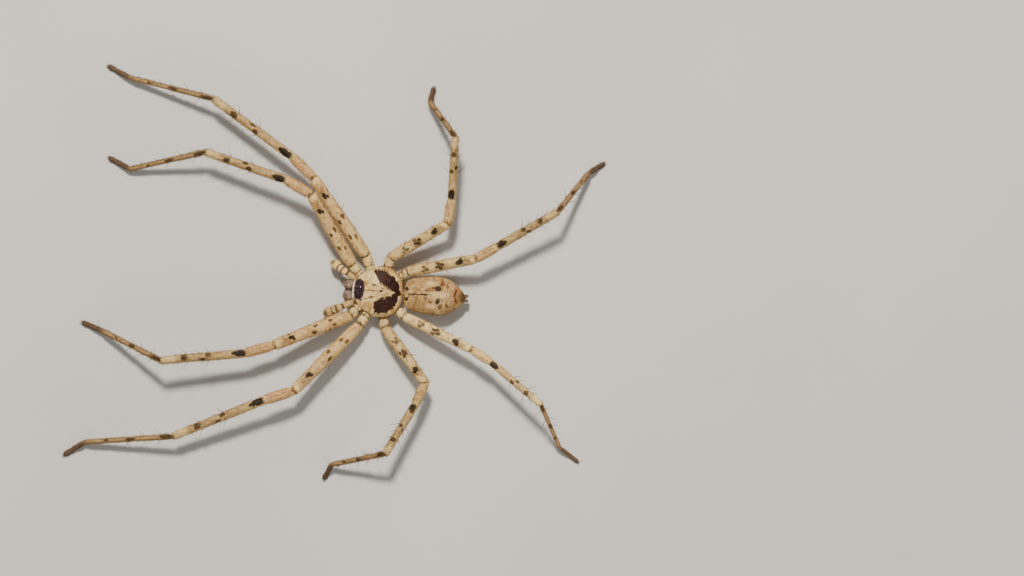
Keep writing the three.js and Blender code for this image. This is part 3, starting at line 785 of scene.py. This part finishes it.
for leg in POSE:
    flat, tip = leg_line(leg)[-2:]
    way = (tip - flat).normalized()
    across = way.cross(UP).normalized()
    for which in (-1, 1):
        roots.append(tip - way * 0.12 + across * which * 0.14 + UP * 0.1)
        ways.append(way + across * which * 0.18 + UP * 0.28)
        bends.append(UP * -0.6)
spikes("claws", roots, ways, [0.72] * len(roots), [0.085] * len(roots), bends, fang_paint.material,
       sides=10, rings=8, sink=0.1)
print("spines and claws made")

# %% [markdown]
# The pattern of a leg follows the leg, however it bends, so its paint reads the note that each point
# keeps: how far along the leg it is and which side it faces. A spot is an oval in these two numbers, and
# a little noise makes its edge ragged. The hairs that grow from the skin keep the same note, and one
# function paints both, so that skin and coat carry the same marks.

# %% Leg pattern
CREAM, TAN, PINK = colour(226, 203, 152), colour(196, 166, 116), colour(198, 158, 116)
BROWN, DARK, BLACK = colour(92, 62, 38), colour(40, 24, 15), colour(16, 8, 5)
GREY_BROWN, GREY = colour(138, 112, 80), colour(84, 68, 56)


def most(*values):
    return reduce(Val.max, values)


def ovals(u, v, *rows):
    """1 in the middle of the nearest of some ovals, 0 at its edge and below 0 outside."""
    return most(*(1 - (((u - at) / long) ** 2 + ((v - across) / wide) ** 2)
                  for at, across, long, wide in rows))


def band(value, start, end, soft):
    """1 between start and end, and 0 outside."""
    return value.step(start - soft, start + soft) * value.step(end + soft, end - soft)


def leg_colour(paint):
    code, side, height = paint.notes()
    run = code.wrap(10)
    hind = code.step(24, 26)
    front = 1 - hind
    cloud, grain, fleck = paint.noise(0.45, 3), paint.noise(2.6, 3), paint.noise(1.5, 4, roughness=0.7)
    rag = (grain - 0.5) * 2.6
    foot = run.step(3.99, 4.03)
    upper = height.step(-0.35, 0.1)
    warm = band(run, 1.35, 3, 0.2) * front * 0.3 + band(run, 2, 3, 0.08) * 0.3
    stripe = abs(side - 0.1).step(0.6, 0.15) * band(run, 4.05, 4.95, 0.05)
    hips = band(run, 0, 0.99, 0.006)

    def marks(*rows):
        return ovals(run, side, *rows)

    # Small dots and rings on the upper side of the thigh: faint near its root, black near its end.
    # Those of the front legs and those of the hind legs differ.
    faint = marks((1.27, 0.42, 0.036, 0.3), (1.24, -0.4, 0.034, 0.28)) - hind * 3
    eyelet = marks((1.262, 0.3, 0.034, 0.34), (1.3, -0.22, 0.042, 0.4),
                   (1.24, -0.4, 0.026, 0.26)) - front * 3
    pairs = marks((1.46, 0.5, 0.034, 0.3), (1.5, -0.44, 0.038, 0.32))
    cluster = marks((1.46, -0.14, 0.042, 0.36), (1.525, 0.16, 0.04, 0.34)) - front * 3
    late_pair = marks((1.78, 0.22, 0.042, 0.42), (1.755, -0.3, 0.026, 0.26)) - hind * 3
    late_spot = marks((1.775, -0.05, 0.056, 0.62), (1.8, 0.4, 0.038, 0.4)) - front * 3
    wash = most(marks((1.83, 0, 0.1, 0.7)), marks((1.5, 0, 0.07, 0.8)) - front * 3)
    # Bands on the shin and the metatarsus, and a long faint line on the knee piece.
    wedge = marks((3.04, 0.15, 0.135, 0.95))
    shin = marks((3.44, 0.4, 0.04, 0.6), (3.5, -0.55, 0.04, 0.4), (3.72, 0.2, 0.05, 0.85))
    knee = most(marks((2.06, 0.15, 0.045, 0.4)), marks((2.5, 0.2, 0.36, 0.09)) * 0.5)
    lower = most(marks((4.07, 0.1, 0.1, 0.8), (4.47, 0, 0.07, 0.8)), marks((4.75, 0.2, 0.05, 0.7)) - 0.25)
    rims = most(band(run, 1.93, 1.99, 0.012), band(run, 3.83, 3.97, 0.03), band(run, 2.9, 2.99, 0.02) * 0.6)
    folds = most(band(run, 0.56, 0.635, 0.015), band(run, 0.97, 1.02, 0.008), band(run, 1.99, 2.03, 0.008),
                 band(run, 3.985, 4.015, 0.008) * 0.8)
    above = paint.layers(
        TAN, (CREAM, cloud.step(0.38, 0.6) * 0.7 + hind * 0.3), (CREAM, fleck.step(0.52, 0.42) * 0.5),
        (colour(150, 116, 74), fleck.step(0.52, 0.6) * 0.55), (PINK, warm),
        (GREY_BROWN, run.step(2.9, 3.4) * 0.45),
        (GREY_BROWN, foot * (cloud.step(0.2, 0.6) * 0.35 + 0.6)),
        (colour(184, 156, 116), stripe * 0.6), (GREY, run.step(4.9, 5.15) * 0.85),
        (BROWN, (wash + rag).step(0, 0.9) * upper * 0.6),
        (DARK, (eyelet + rag).step(0, 0.5) * upper * 0.78),
        (BROWN, (most(knee, faint) + rag * 0.8).step(0, 0.5) * upper * 0.9),
        (DARK, (most(pairs, cluster, shin, lower - 0.1) + rag * 0.7).step(0, 0.4) * upper * 0.85),
        (BLACK, (most(late_pair, late_spot) + rag * 0.8).step(0, 0.3) * upper * 0.95),
        (BLACK, (wedge + rag * 0.7).step(0.1, 0.4) * height.step(-0.6, 0) * 0.97),
        (CREAM, rims * 0.8), (CREAM, hips * 0.7),
        (BROWN, hips * paint.noise(0.9, 2).step(0.54, 0.64) * upper * 0.8),
        (DARK, folds * grain.step(0.3, 0.55) * 0.85))
    # Painted shade: the lower side of each leg is a darker tan than its top, and grey-brown from the
    # metatarsus on.
    below = paint.mix(colour(176, 146, 110), GREY_BROWN, foot)
    shade = paint.layers(below, (above, height.step(-0.85, -0.1)), (BROWN, grain.step(0.55, 0.68) * 0.3))
    return shade, grain


shade, grain = leg_colour(leg_paint)
leg_paint.set(Base_Color=shade, Roughness=grain * 0.2 + 0.55,
              Normal=leg_paint.bump(grain + leg_paint.noise(7, 2) * 0.5, 0.00006, 0.9))
print("nodes in the leg's paint:", len(leg_paint.tree.nodes))

# %% [markdown]
# The carapace's marks lie where they do on the back: two chocolate patches behind, a pale wedge that
# points back between them, the black patch round the eyes and a golden hind margin. Each patch is a
# polygon of a few corners. How deep a point lies inside it is the smallest of its distances from the
# polygon's sides, and noise on that distance gives the ragged edge that fine hairs make.


# %% Carapace pattern
def inside(x, y, corners):
    """How deep a point lies inside a convex outline, in millimetres."""
    edges = list(zip(corners, corners[1:] + corners[:1]))
    turn = math.copysign(1, sum(a[0] * b[1] - b[0] * a[1] for a, b in edges))
    depths = []
    for (ax, ay), (bx, by) in edges:
        long = math.hypot(bx - ax, by - ay) * turn
        nx, ny = (ay - by) / long, (bx - ax) / long
        depths.append(x * nx + (y * ny - (ax * nx + ay * ny)))
    return reduce(Val.min, depths)


def streaks(x, y, *rows):
    """1 in the middle of the nearest of some short lines, and falling to 0 at its edge."""
    found = []
    for ax, ay, bx, by, wide in rows:
        long = math.hypot(bx - ax, by - ay)
        ux, uy = (bx - ax) / long, (by - ay) / long
        along = (x - ax) * ux + (y - ay) * uy
        beside = (x - ax) * uy - (y - ay) * ux
        past = abs(along - long / 2) - long / 2
        found.append(1 - abs(beside).max(past) / wide)
    return most(*found)


PATCH_RIGHT = [(-0.08, 2.85), (-0.05, 3.6), (-1.2, 3.62), (-2.35, 3.0), (-3.25, 1.75), (-3.95, 0.35),
               (-3.5, -0.95), (-2.42, -0.5), (-1.7, 0.17), (-0.98, 1.12)]
PATCH_LEFT = [(0.1, 2.85), (1.0, 0.9), (1.85, -0.75), (2.55, -0.9), (3.5, -0.55), (3.82, 0.4), (3.5, 1.6),
              (2.95, 2.4), (1.85, 3.25), (0.6, 3.6), (-0.05, 3.6)]
EYE_PATCH = [(-1.5, -2.62), (-2.0, -3.1), (-2.1, -3.55), (-1.7, -3.98), (-0.95, -4.2), (0.0, -4.3),
             (0.75, -4.22), (1.35, -3.98), (1.68, -3.55), (1.5, -2.98), (0.9, -2.62), (-0.2, -2.45),
             (-0.9, -2.45)]
GOLD, CHOCOLATE, RUST = colour(168, 128, 74, 1.15), colour(32, 14, 6), colour(88, 46, 20)
INK = colour(34, 22, 30)


def carapace_colour(paint):
    x, y, z = paint.notes()
    cloud, grain, fleck = paint.noise(0.55, 3), paint.noise(2.4, 4), paint.noise(1.3, 4, roughness=0.7)
    hairs = paint.noise(1.6, 3, stretch=(3.2, 0.9, 1))
    rag = (grain - 0.5) * 0.7 + (hairs - 0.5) * 0.5
    # The teeth run out from the middle groove, as the hairs do.
    spread = x / (abs(y - 1.2) + 0.6)
    spoke = paint.node("CombineXYZ", {}, {0: spread * 1.5, 1: y * 0.3, 2: 0.5}).outputs[0]
    teeth = paint.noise(2.6, 2, spoke) - 0.5
    bridge = ovals(x, y, (0, 3.25, 0.9, 0.42)) * 0.3
    patch = most(inside(x, y, PATCH_RIGHT), inside(x, y, PATCH_LEFT), bridge)
    eyes_at = inside(x, y, EYE_PATCH)
    side_streaks = paint.noise(0.8, 2, stretch=(0.5, 2.4, 1)).step(0.5, 0.72) * abs(x).step(1.6, 2.6)
    wedge_lines = streaks(x, y, (-1.55, -2.1, -0.25, 1.9, 0.13), (1.3, -2.0, 0.1, 1.9, 0.13))
    middle = streaks(x, y, (-0.1, -2.3, -0.14, 0.3, 0.15))
    brows = streaks(x, y, (-1.5, -2.7, -2.05, -3.3, 0.14), (1.2, -2.75, 1.42, -1.95, 0.12),
                    (-1.75, -2.9, -1.25, -2.15, 0.13))
    dots = ovals(x, y, (-0.16, 0.5, 0.3, 0.38), (-1.15, -0.8, 0.2, 0.5), (0.98, -1.12, 0.2, 0.5))
    margin = abs(x / 4.45) ** 2.4 + abs((y - 0.15) / 4.1) ** 2.4
    lines = most(band(margin, 0.985, 1.3, 0.03), band(margin, 0.74, 0.79, 0.03) * 0.7)
    front_edge = y.step(-4.12, -4.3) * z.step(3.4, 3.9) * eyes_at.step(0.12, -0.02)
    chocolate = paint.mix(CHOCOLATE, RUST, hairs.step(0.48, 0.74) * 0.6)
    ink = paint.mix(INK, colour(92, 66, 68), hairs.step(0.48, 0.62) * 0.7)
    above = paint.layers(
        colour(176, 144, 94), (colour(226, 203, 154), (cloud * 0.5 + fleck * 0.5).step(0.43, 0.54)),
        (RUST, side_streaks * y.step(-2.8, -1.6) * 0.42), (RUST, (wedge_lines + rag).step(0.1, 0.8) * 0.55),
        (BROWN, (middle + rag * 0.8).step(0, 0.6) * 0.85), (DARK, (dots + rag).step(0, 0.5) * 0.85),
        (GOLD, margin.step(0.72, 0.86) * y.step(-1.2, 1.2) * 0.85),
        (BROWN, (lines + rag * 0.5).step(0.2, 0.9) * 0.8),
        (CREAM, ovals(x, y, (-0.07, 2.45, 0.22, 0.55)).step(0, 0.6) * 0.9),
        (chocolate, (patch + teeth * 1.8 + rag * 0.7 + 0.14).step(-0.02, 0.1)),
        (CREAM, ovals(x, y, (-0.05, 2.45, 0.2, 0.5)).step(0, 0.5) * 0.9),
        (BROWN, band(z, 3.45, 3.62, 0.04) * y.step(0.5, -0.5) * 0.6),
        (DARK, (brows + rag).step(0, 0.6) * 0.75), (ink, (eyes_at + rag * 0.2).step(-0.03, 0.06)),
        (colour(232, 222, 200), front_edge))
    under = paint.mix(colour(188, 158, 118), colour(150, 118, 86), cloud.step(0.4, 0.7))
    shade = paint.layers(under, (above, z.step(3.2, 3.5)), (BROWN, grain.step(0.55, 0.68) * 0.25))
    return shade, grain, hairs, eyes_at


shade, grain, hairs, eyes_at = carapace_colour(carapace_paint)
carapace_paint.set(Base_Color=shade, Roughness=0.58 - eyes_at.step(-0.02, 0.1) * 0.25 + grain * 0.1,
                   Normal=carapace_paint.bump(grain * 0.5 + hairs, 0.00006, 0.8))
print("nodes in the carapace's paint:", len(carapace_paint.tree.nodes))

# %% [markdown]
# The abdomen is covered in fine fur, beige with brown dots in pairs, a thin line down the front half, a
# pale middle behind it and a small rust arc before the dark tip. Its sides are painted darker as shade,
# most of all low at the back. Its underside is plain and paler.


# %% Abdomen pattern
def abdomen_colour(paint):
    x, y, z = paint.notes()
    x = x + (y - 4.5) * 0.02
    cloud, grain, fleck = paint.noise(0.42, 3), paint.noise(2.2, 4), paint.noise(1.2, 4, roughness=0.72)
    pepper = paint.noise(2.2, 3, roughness=0.7)
    fur = paint.noise(1.5, 3, stretch=(2.6, 0.8, 1.4))
    rag = (grain - 0.5) * 2.4 + (fur - 0.5) * 1.4

    def marks(*rows):
        return ovals(x, y, *rows)

    flank = marks((2.2, 8.2, 1.1, 2.2), (-2.2, 8, 1.1, 2.2))
    pale = marks((-0.15, 10.9, 0.75, 2.1), (1.9, 9.3, 0.5, 1.2), (-2, 9.2, 0.5, 1.2))
    line = streaks(x, y, (0, 5.3, -0.05, 8.8, 0.19))
    faint = marks((-0.9, 8.3, 0.3, 0.3), (0.72, 8.25, 0.3, 0.3), (-1.62, 12, 0.4, 0.34),
                  (1.72, 12.1, 0.36, 0.3), (-2.2, 11.05, 0.6, 0.5), (2, 10.8, 0.6, 0.5),
                  (-1.3, 9.6, 0.26, 0.44), (1.2, 9.2, 0.22, 0.34))
    dots = marks((-0.92, 4.95, 0.36, 0.4), (0.9, 4.95, 0.36, 0.4), (-1.16, 10.35, 0.52, 0.64),
                 (1.06, 10.4, 0.6, 0.5))
    bow = 1 - abs(((x + 0.1) ** 2 + (y - 14.6) ** 2).root() - 1.25) / 0.24
    bow = bow.min((13.95 - y) * 3)
    middle = paint.layers(
        colour(146, 116, 76), (colour(210, 184, 140), (cloud * 0.3 + fleck * 0.7).step(0.44, 0.54)),
        (colour(112, 84, 54), fleck.step(0.5, 0.56) * 0.6),
        (colour(96, 70, 46), pepper.step(0.53, 0.6) * 0.5),
        (colour(156, 122, 84), (flank + rag * 0.5).step(0, 0.7) * 0.55),
        (colour(224, 196, 152), (pale + rag * 0.8).step(0, 0.8) * 0.75))
    # Painted shade: the abdomen's sides are darker than its top, mottled between two browns, and the top's
    # colours take over between heights of 2.6 and 4.2 mm.
    sides = paint.mix(colour(136, 112, 82), colour(184, 160, 126), cloud.step(0.35, 0.65))
    above = paint.layers(
        sides, (middle, z.step(2.6, 4.2)), (DARK, (line + rag * 0.8).step(0, 0.5) * 0.85),
        (DARK, (marks((0, 8.06, 0.3, 0.5)) + rag).step(0, 0.5) * 0.8),
        (BROWN, (faint + rag).step(0, 0.6) * 0.85), (DARK, (dots + rag * 0.7).step(0, 0.4) * 0.93),
        (colour(122, 92, 58), (y + rag * 0.8).step(11.6, 14.2) * 0.6),
        (RUST, (bow + rag * 0.9).step(0, 0.5) * 0.95),
        (DARK, (marks((0.05, 15.5, 1.5, 1.5)) + rag * 0.5).step(0, 0.7) * 0.75),
        # Painted shade: brown on the low flanks of the rear half, where they turn under.
        (BROWN, (z + rag * 0.5).step(3.4, 2.7) * y.step(10.5, 13.5) * 0.4))
    under = paint.mix(colour(172, 146, 112), colour(142, 114, 86), abs(x).step(0.7, 0.2) * 0.6)
    shade = paint.layers(under, (above, z.step(1.9, 2.8)), (BROWN, grain.step(0.55, 0.68) * 0.35))
    return shade, grain, fur


shade, grain, fur = abdomen_colour(abdomen_paint)
abdomen_paint.set(Base_Color=shade, Roughness=grain * 0.15 + 0.7,
                  Normal=abdomen_paint.bump(fur + grain * 0.6, 0.00008, 0.8))
print("nodes in the abdomen's paint:", len(abdomen_paint.tree.nodes))

# %% [markdown]
# The jaws are a dull pinkish brown with a few dark flecks, and the palps carry bands of brown on cream.


# %% Jaw and palp patterns
def jaw_colour(paint):
    run = paint.notes()[0]
    cloud, grain = paint.noise(0.8, 3), paint.noise(3, 3)
    shade = paint.layers(colour(160, 138, 122), (colour(116, 96, 84), cloud.step(0.4, 0.6)),
                         (DARK, run.step(11.2, 12) * 0.75), (DARK, grain.step(0.55, 0.68) * 0.4))
    return shade, grain


def palp_colour(paint):
    run, side, height = paint.notes()
    cloud, grain = paint.noise(0.8, 3), paint.noise(2.8, 3)
    rag = (grain - 0.5) * 1.2
    bands = most(band(run, 0.86, 1.06, 0.04), band(run, 1.42, 1.62, 0.05), band(run, 1.92, 2.08, 0.04))
    shade = paint.layers(
        TAN, (CREAM, cloud.step(0.3, 0.6)),
        (BROWN, (bands + rag * 0.5).step(0.25, 0.7) * height.step(-0.5, 0.3) * 0.9),
        (DARK, (ovals(run, side, (2.5, 0.1, 0.2, 0.6)) + rag).step(0, 0.6) * 0.75),
        (DARK, grain.step(0.6, 0.8) * 0.15))
    return shade, grain


shade, grain = jaw_colour(chelicera_paint)
chelicera_paint.set(Base_Color=shade, Roughness=grain * 0.2 + 0.4,
                    Normal=chelicera_paint.bump(grain, 0.00004, 0.6))
shade, grain = palp_colour(palp_paint)
palp_paint.set(Base_Color=shade, Roughness=grain * 0.2 + 0.5, Normal=palp_paint.bump(grain, 0.00005, 0.8))
print("jaws and palps painted")

# %% [markdown]
# The coat. A spider's hairs are stiff, fine and short, and lie back along the body. Each is a blade with
# three sides that is bent once, so that it can lie flat and still lift its tip. The roots are scattered
# over a skin's triangles by area, and a density thins them out where little grows. A hair keeps its
# root's note, so it takes the skin's own marks, and its place on the skin's unwrap, where the colours
# can be baked later.


# %% Scattering hairs
CEILING = 9.25  # no hair reaches above this, so that the model keeps to the solids' box


def triples(source, field, kind=np.float32):
    """A field of many points or triangles, as rows of three numbers."""
    values = np.empty(len(source) * 3, dtype=kind)
    source.foreach_get(field, values)
    return values.reshape(-1, 3)


def coat(name, skin, material, count, length, radius, lift, density=None, spread=0.3):
    """Grows hairs on a skin. Their length, lift and density are numbers, or follow the roots' notes."""
    data = skin.data
    data.calc_loop_triangles()
    corners = triples(data.loop_triangles, "vertices", np.int32)
    points = triples(data.vertices, "co").astype(float) / MM
    chance = np.random.default_rng(SEED + len(name) * 17 + sum(map(ord, name)))
    a, b, c = (points[corners[:, k]] for k in range(3))
    area = np.linalg.norm(np.cross(b - a, c - a), axis=1)
    pick = chance.choice(len(corners), size=count * 3, p=area / area.sum())
    u, v = chance.random((2, count * 3))
    u, v = np.where(u + v > 1, 1 - u, u), np.where(u + v > 1, 1 - v, v)
    share = np.stack([1 - u - v, u, v], axis=1)[:, :, None]
    fields = [points, triples(data.vertices, "normal").astype(float)]
    fields += [triples(data.attributes[kept].data, "vector").astype(float)
               for kept in ("flow", "spot", "unwrap")]
    fields = [values[corners[pick]] for values in fields]
    around = fields[-1]
    seam = np.ptp(around[:, :, 0], axis=1) > 0.5
    around[seam, :, 0] += around[seam, :, 0] < 0.5
    fields = [np.sum(values * share, axis=1) for values in fields]
    if density:
        kept = chance.random(len(pick)) < density(fields[3])
        fields = [values[kept] for values in fields]
    root, out, way, note, place = (values[:count] for values in fields)
    found = len(root)
    out /= np.linalg.norm(out, axis=1, keepdims=True)
    way -= out * np.sum(way * out, axis=1, keepdims=True)
    way /= np.linalg.norm(way, axis=1, keepdims=True) + 1e-9
    turn = chance.normal(0, spread, found)[:, None]
    way = way * np.cos(turn) + np.cross(out, way) * np.sin(turn)
    aside = np.cross(out, way)
    long, tilt = (value(note) if callable(value) else value for value in (length, lift))
    long = (long * chance.uniform(0.65, 1.25, found))[:, None]
    tilt = np.radians(tilt * chance.uniform(0.6, 1.4, found))[:, None]
    first, then = (way * np.cos(tilt * part) + out * np.sin(tilt * part) for part in (1.35, 0.6))
    over = np.cross(aside, first)
    elbow = root + first * long * 0.5
    thick = radius * chance.uniform(0.75, 1.2, found)[:, None]
    hairs, marks = np.empty((found, 7, 3)), np.empty((found, 7, 2))
    place[:, 0] %= 1
    patch = np.clip(place[:, :2], 0.002, 0.998)
    for k in range(3):
        angle = math.tau * k / 3 + math.pi / 2
        spoke = (aside * math.cos(angle) + over * math.sin(angle)) * thick
        nearby = np.array([math.cos(angle), math.sin(angle)])
        hairs[:, k], hairs[:, 3 + k] = root - first * 0.03 + spoke, elbow + spoke * 0.75
        marks[:, k], marks[:, 3 + k] = patch + 0.0015 * nearby, patch + 0.0009 * nearby
    hairs[:, 6], marks[:, 6] = elbow + then * long * 0.5, patch
    hairs[:, :, 2] = np.clip(hairs[:, :, 2], FLOOR_GAP, CEILING)
    one = [(0, 2, 1)]
    for k in range(3):
        n = (k + 1) % 3
        one += [(k, n, n + 3), (k, n + 3, k + 3), (k + 3, n + 3, 6)]
    faces = (np.array(one)[None] + np.arange(found)[:, None, None] * 7).reshape(-1, 3)
    mesh = bpy.data.meshes.new(name)
    mesh.from_pydata((hairs.reshape(-1, 3) * MM).tolist(), [], faces.tolist())
    mesh.attributes.new("spot", "FLOAT_VECTOR", "POINT").data.foreach_set(
        "vector", np.repeat(note, 7, axis=0).astype(np.float32).ravel())
    mesh.attributes.new("tone", "FLOAT", "POINT").data.foreach_set(
        "value", np.repeat(chance.random(found), 7).astype(np.float32))
    mesh.uv_layers.new(name="OFBake").uv.foreach_set(
        "vector", marks.reshape(-1, 2)[faces.ravel()].astype(np.float32).ravel())
    dressed(name, mesh, material)
    return found


def hair_paint(name, shade_of, pale, share=0.45):
    """A hair material with the skin's own marks. Some hairs are paler than the skin and some darker."""
    paint = Paint(name, Roughness=0.55, Specular_IOR_Level=0.25)
    base, tone, lock = shade_of(paint)[0], paint.tone(), paint.noise(3.2, 2)
    light = Val(paint, paint.node("RGBToBW", {}, {0: base}).outputs[0]).step(0.05, 0.3)
    return paint.set(Base_Color=paint.layers(
        base, (pale, tone.step(0.6, 0.9) * light * share), (BROWN, tone.step(0.3, 0.1) * light * 0.45),
        (pale, lock.step(0.47, 0.38) * light * 0.4), (BROWN, lock.step(0.53, 0.62) * light * 0.45)))


def following(axis, *stations):
    """A number that follows one number of the notes, straight between the given stations."""
    places, values = zip(*stations)
    return lambda note: np.interp(note[:, axis], places, values)


def along(*stations):
    """A number that follows the run along a leg, whichever leg it is."""
    follow = following(0, *stations)
    return lambda note: follow(note % 10)


print("a hair has 7 points and 10 triangles")

# %% [markdown]
# The legs carry a short coat that is thin on the thigh and dense on the foot, with a few long bristles
# that stand off. Below the metatarsus and the foot grows a thick dark brush, with which the animal
# clings to smooth bark and walls.

# %% Leg coats
leg_hair = hair_paint("leg_hair", leg_colour, colour(226, 208, 176))
brush_paint = Paint("brush_hair", Roughness=0.5, Specular_IOR_Level=0.3)
brush_shade = brush_paint.mix(colour(66, 52, 44), colour(120, 100, 84), brush_paint.tone().step(0.3, 1))
brush_paint.set(Base_Color=brush_shade)


def brush_density(note):
    run, up = note[:, 0] % 10, note[:, 2]
    return (run > 4.3) * (up < -0.1) + (run > 5.72) * 0.7


total = 0
for leg, skin in leg_skins.items():
    total += coat("hair_leg_" + leg, skin, leg_hair, 8200,
                  along((0, 0.22), (1, 0.27), (2, 0.32), (3, 0.38), (4, 0.42), (5, 0.38), (6, 0.24)), 0.028,
                  along((0, 22), (2, 22), (4, 27), (6, 32)),
                  along((0.25, 0), (0.3, 0.7), (2, 0.7), (4, 0.85), (4.1, 1), (6, 1)))
    total += coat("bristles_leg_" + leg, skin, leg_hair, 420,
                  along((0, 0.6), (2, 0.95), (4, 1.15), (5, 0.9), (6, 0.55)), 0.026,
                  along((0, 50), (6, 52)), along((0.5, 0), (0.8, 0.7), (3, 0.8), (6, 0.9)), 0.5)
    total += coat("brush_leg_" + leg, skin, brush_paint.material, 1500,
                  along((4, 0.24), (5, 0.3), (6, 0.3)), 0.026, along((4, 55), (6, 45)), brush_density)
print("hairs on the legs:", total)

# %% [markdown]
# The carapace wears flat pale down that points away from the face, dark on the patches and missing on
# the eyes. The abdomen's fur is longer and lies back, and the palps and jaws have short fine hairs.

# %% Body coats
EYE_SPOTS = [(side * x, y, radius) for x, y, radius in EYES.values() for side in (1, -1)]


def clear_of_eyes(note):
    free = np.ones(len(note))
    for x, y, radius in EYE_SPOTS:
        free *= np.hypot(note[:, 0] - x, note[:, 1] - y) > radius * 0.95
    return free * (0.45 + 0.55 * (note[:, 2] > 3.3))


total = 0
down = hair_paint("carapace_hair", carapace_colour, colour(232, 214, 178), 0.3)
total += coat("hair_carapace", carapace_skin, down, 15000,
              following(1, (-4.4, 0.14), (-3.2, 0.17), (-1.5, 0.26), (1.5, 0.3), (4.2, 0.36)), 0.024, 14,
              clear_of_eyes, 0.35)
abdomen_hair = hair_paint("abdomen_hair", abdomen_colour, colour(226, 204, 166))
total += coat("hair_abdomen", abdomen_skin, abdomen_hair, 17500,
              following(1, (4.6, 0.34), (7, 0.4), (12, 0.42), (15, 0.36)), 0.027, 20, None, 0.35)
total += coat("hair_spinnerets", spinneret_skin, brush_paint.material, 900, 0.2, 0.014, 30)
palp_hair = hair_paint("palp_hair", palp_colour, colour(236, 224, 198))
jaw_hair = hair_paint("jaw_hair", jaw_colour, colour(206, 192, 172), 0.5)
for word in SIDES:
    total += coat("hair_palp_" + word, palp_skins[word], palp_hair, 2600,
                  following(0, (0, 0.26), (2, 0.34), (3, 0.3)), 0.022, 26)
    total += coat("hair_chelicera_" + word, chelicera_skins[word], jaw_hair, 1500,
                  following(0, (10, 0.22), (11, 0.26), (12, 0.34)), 0.02, 24, None, 0.35)
print("hairs on the body:", total)
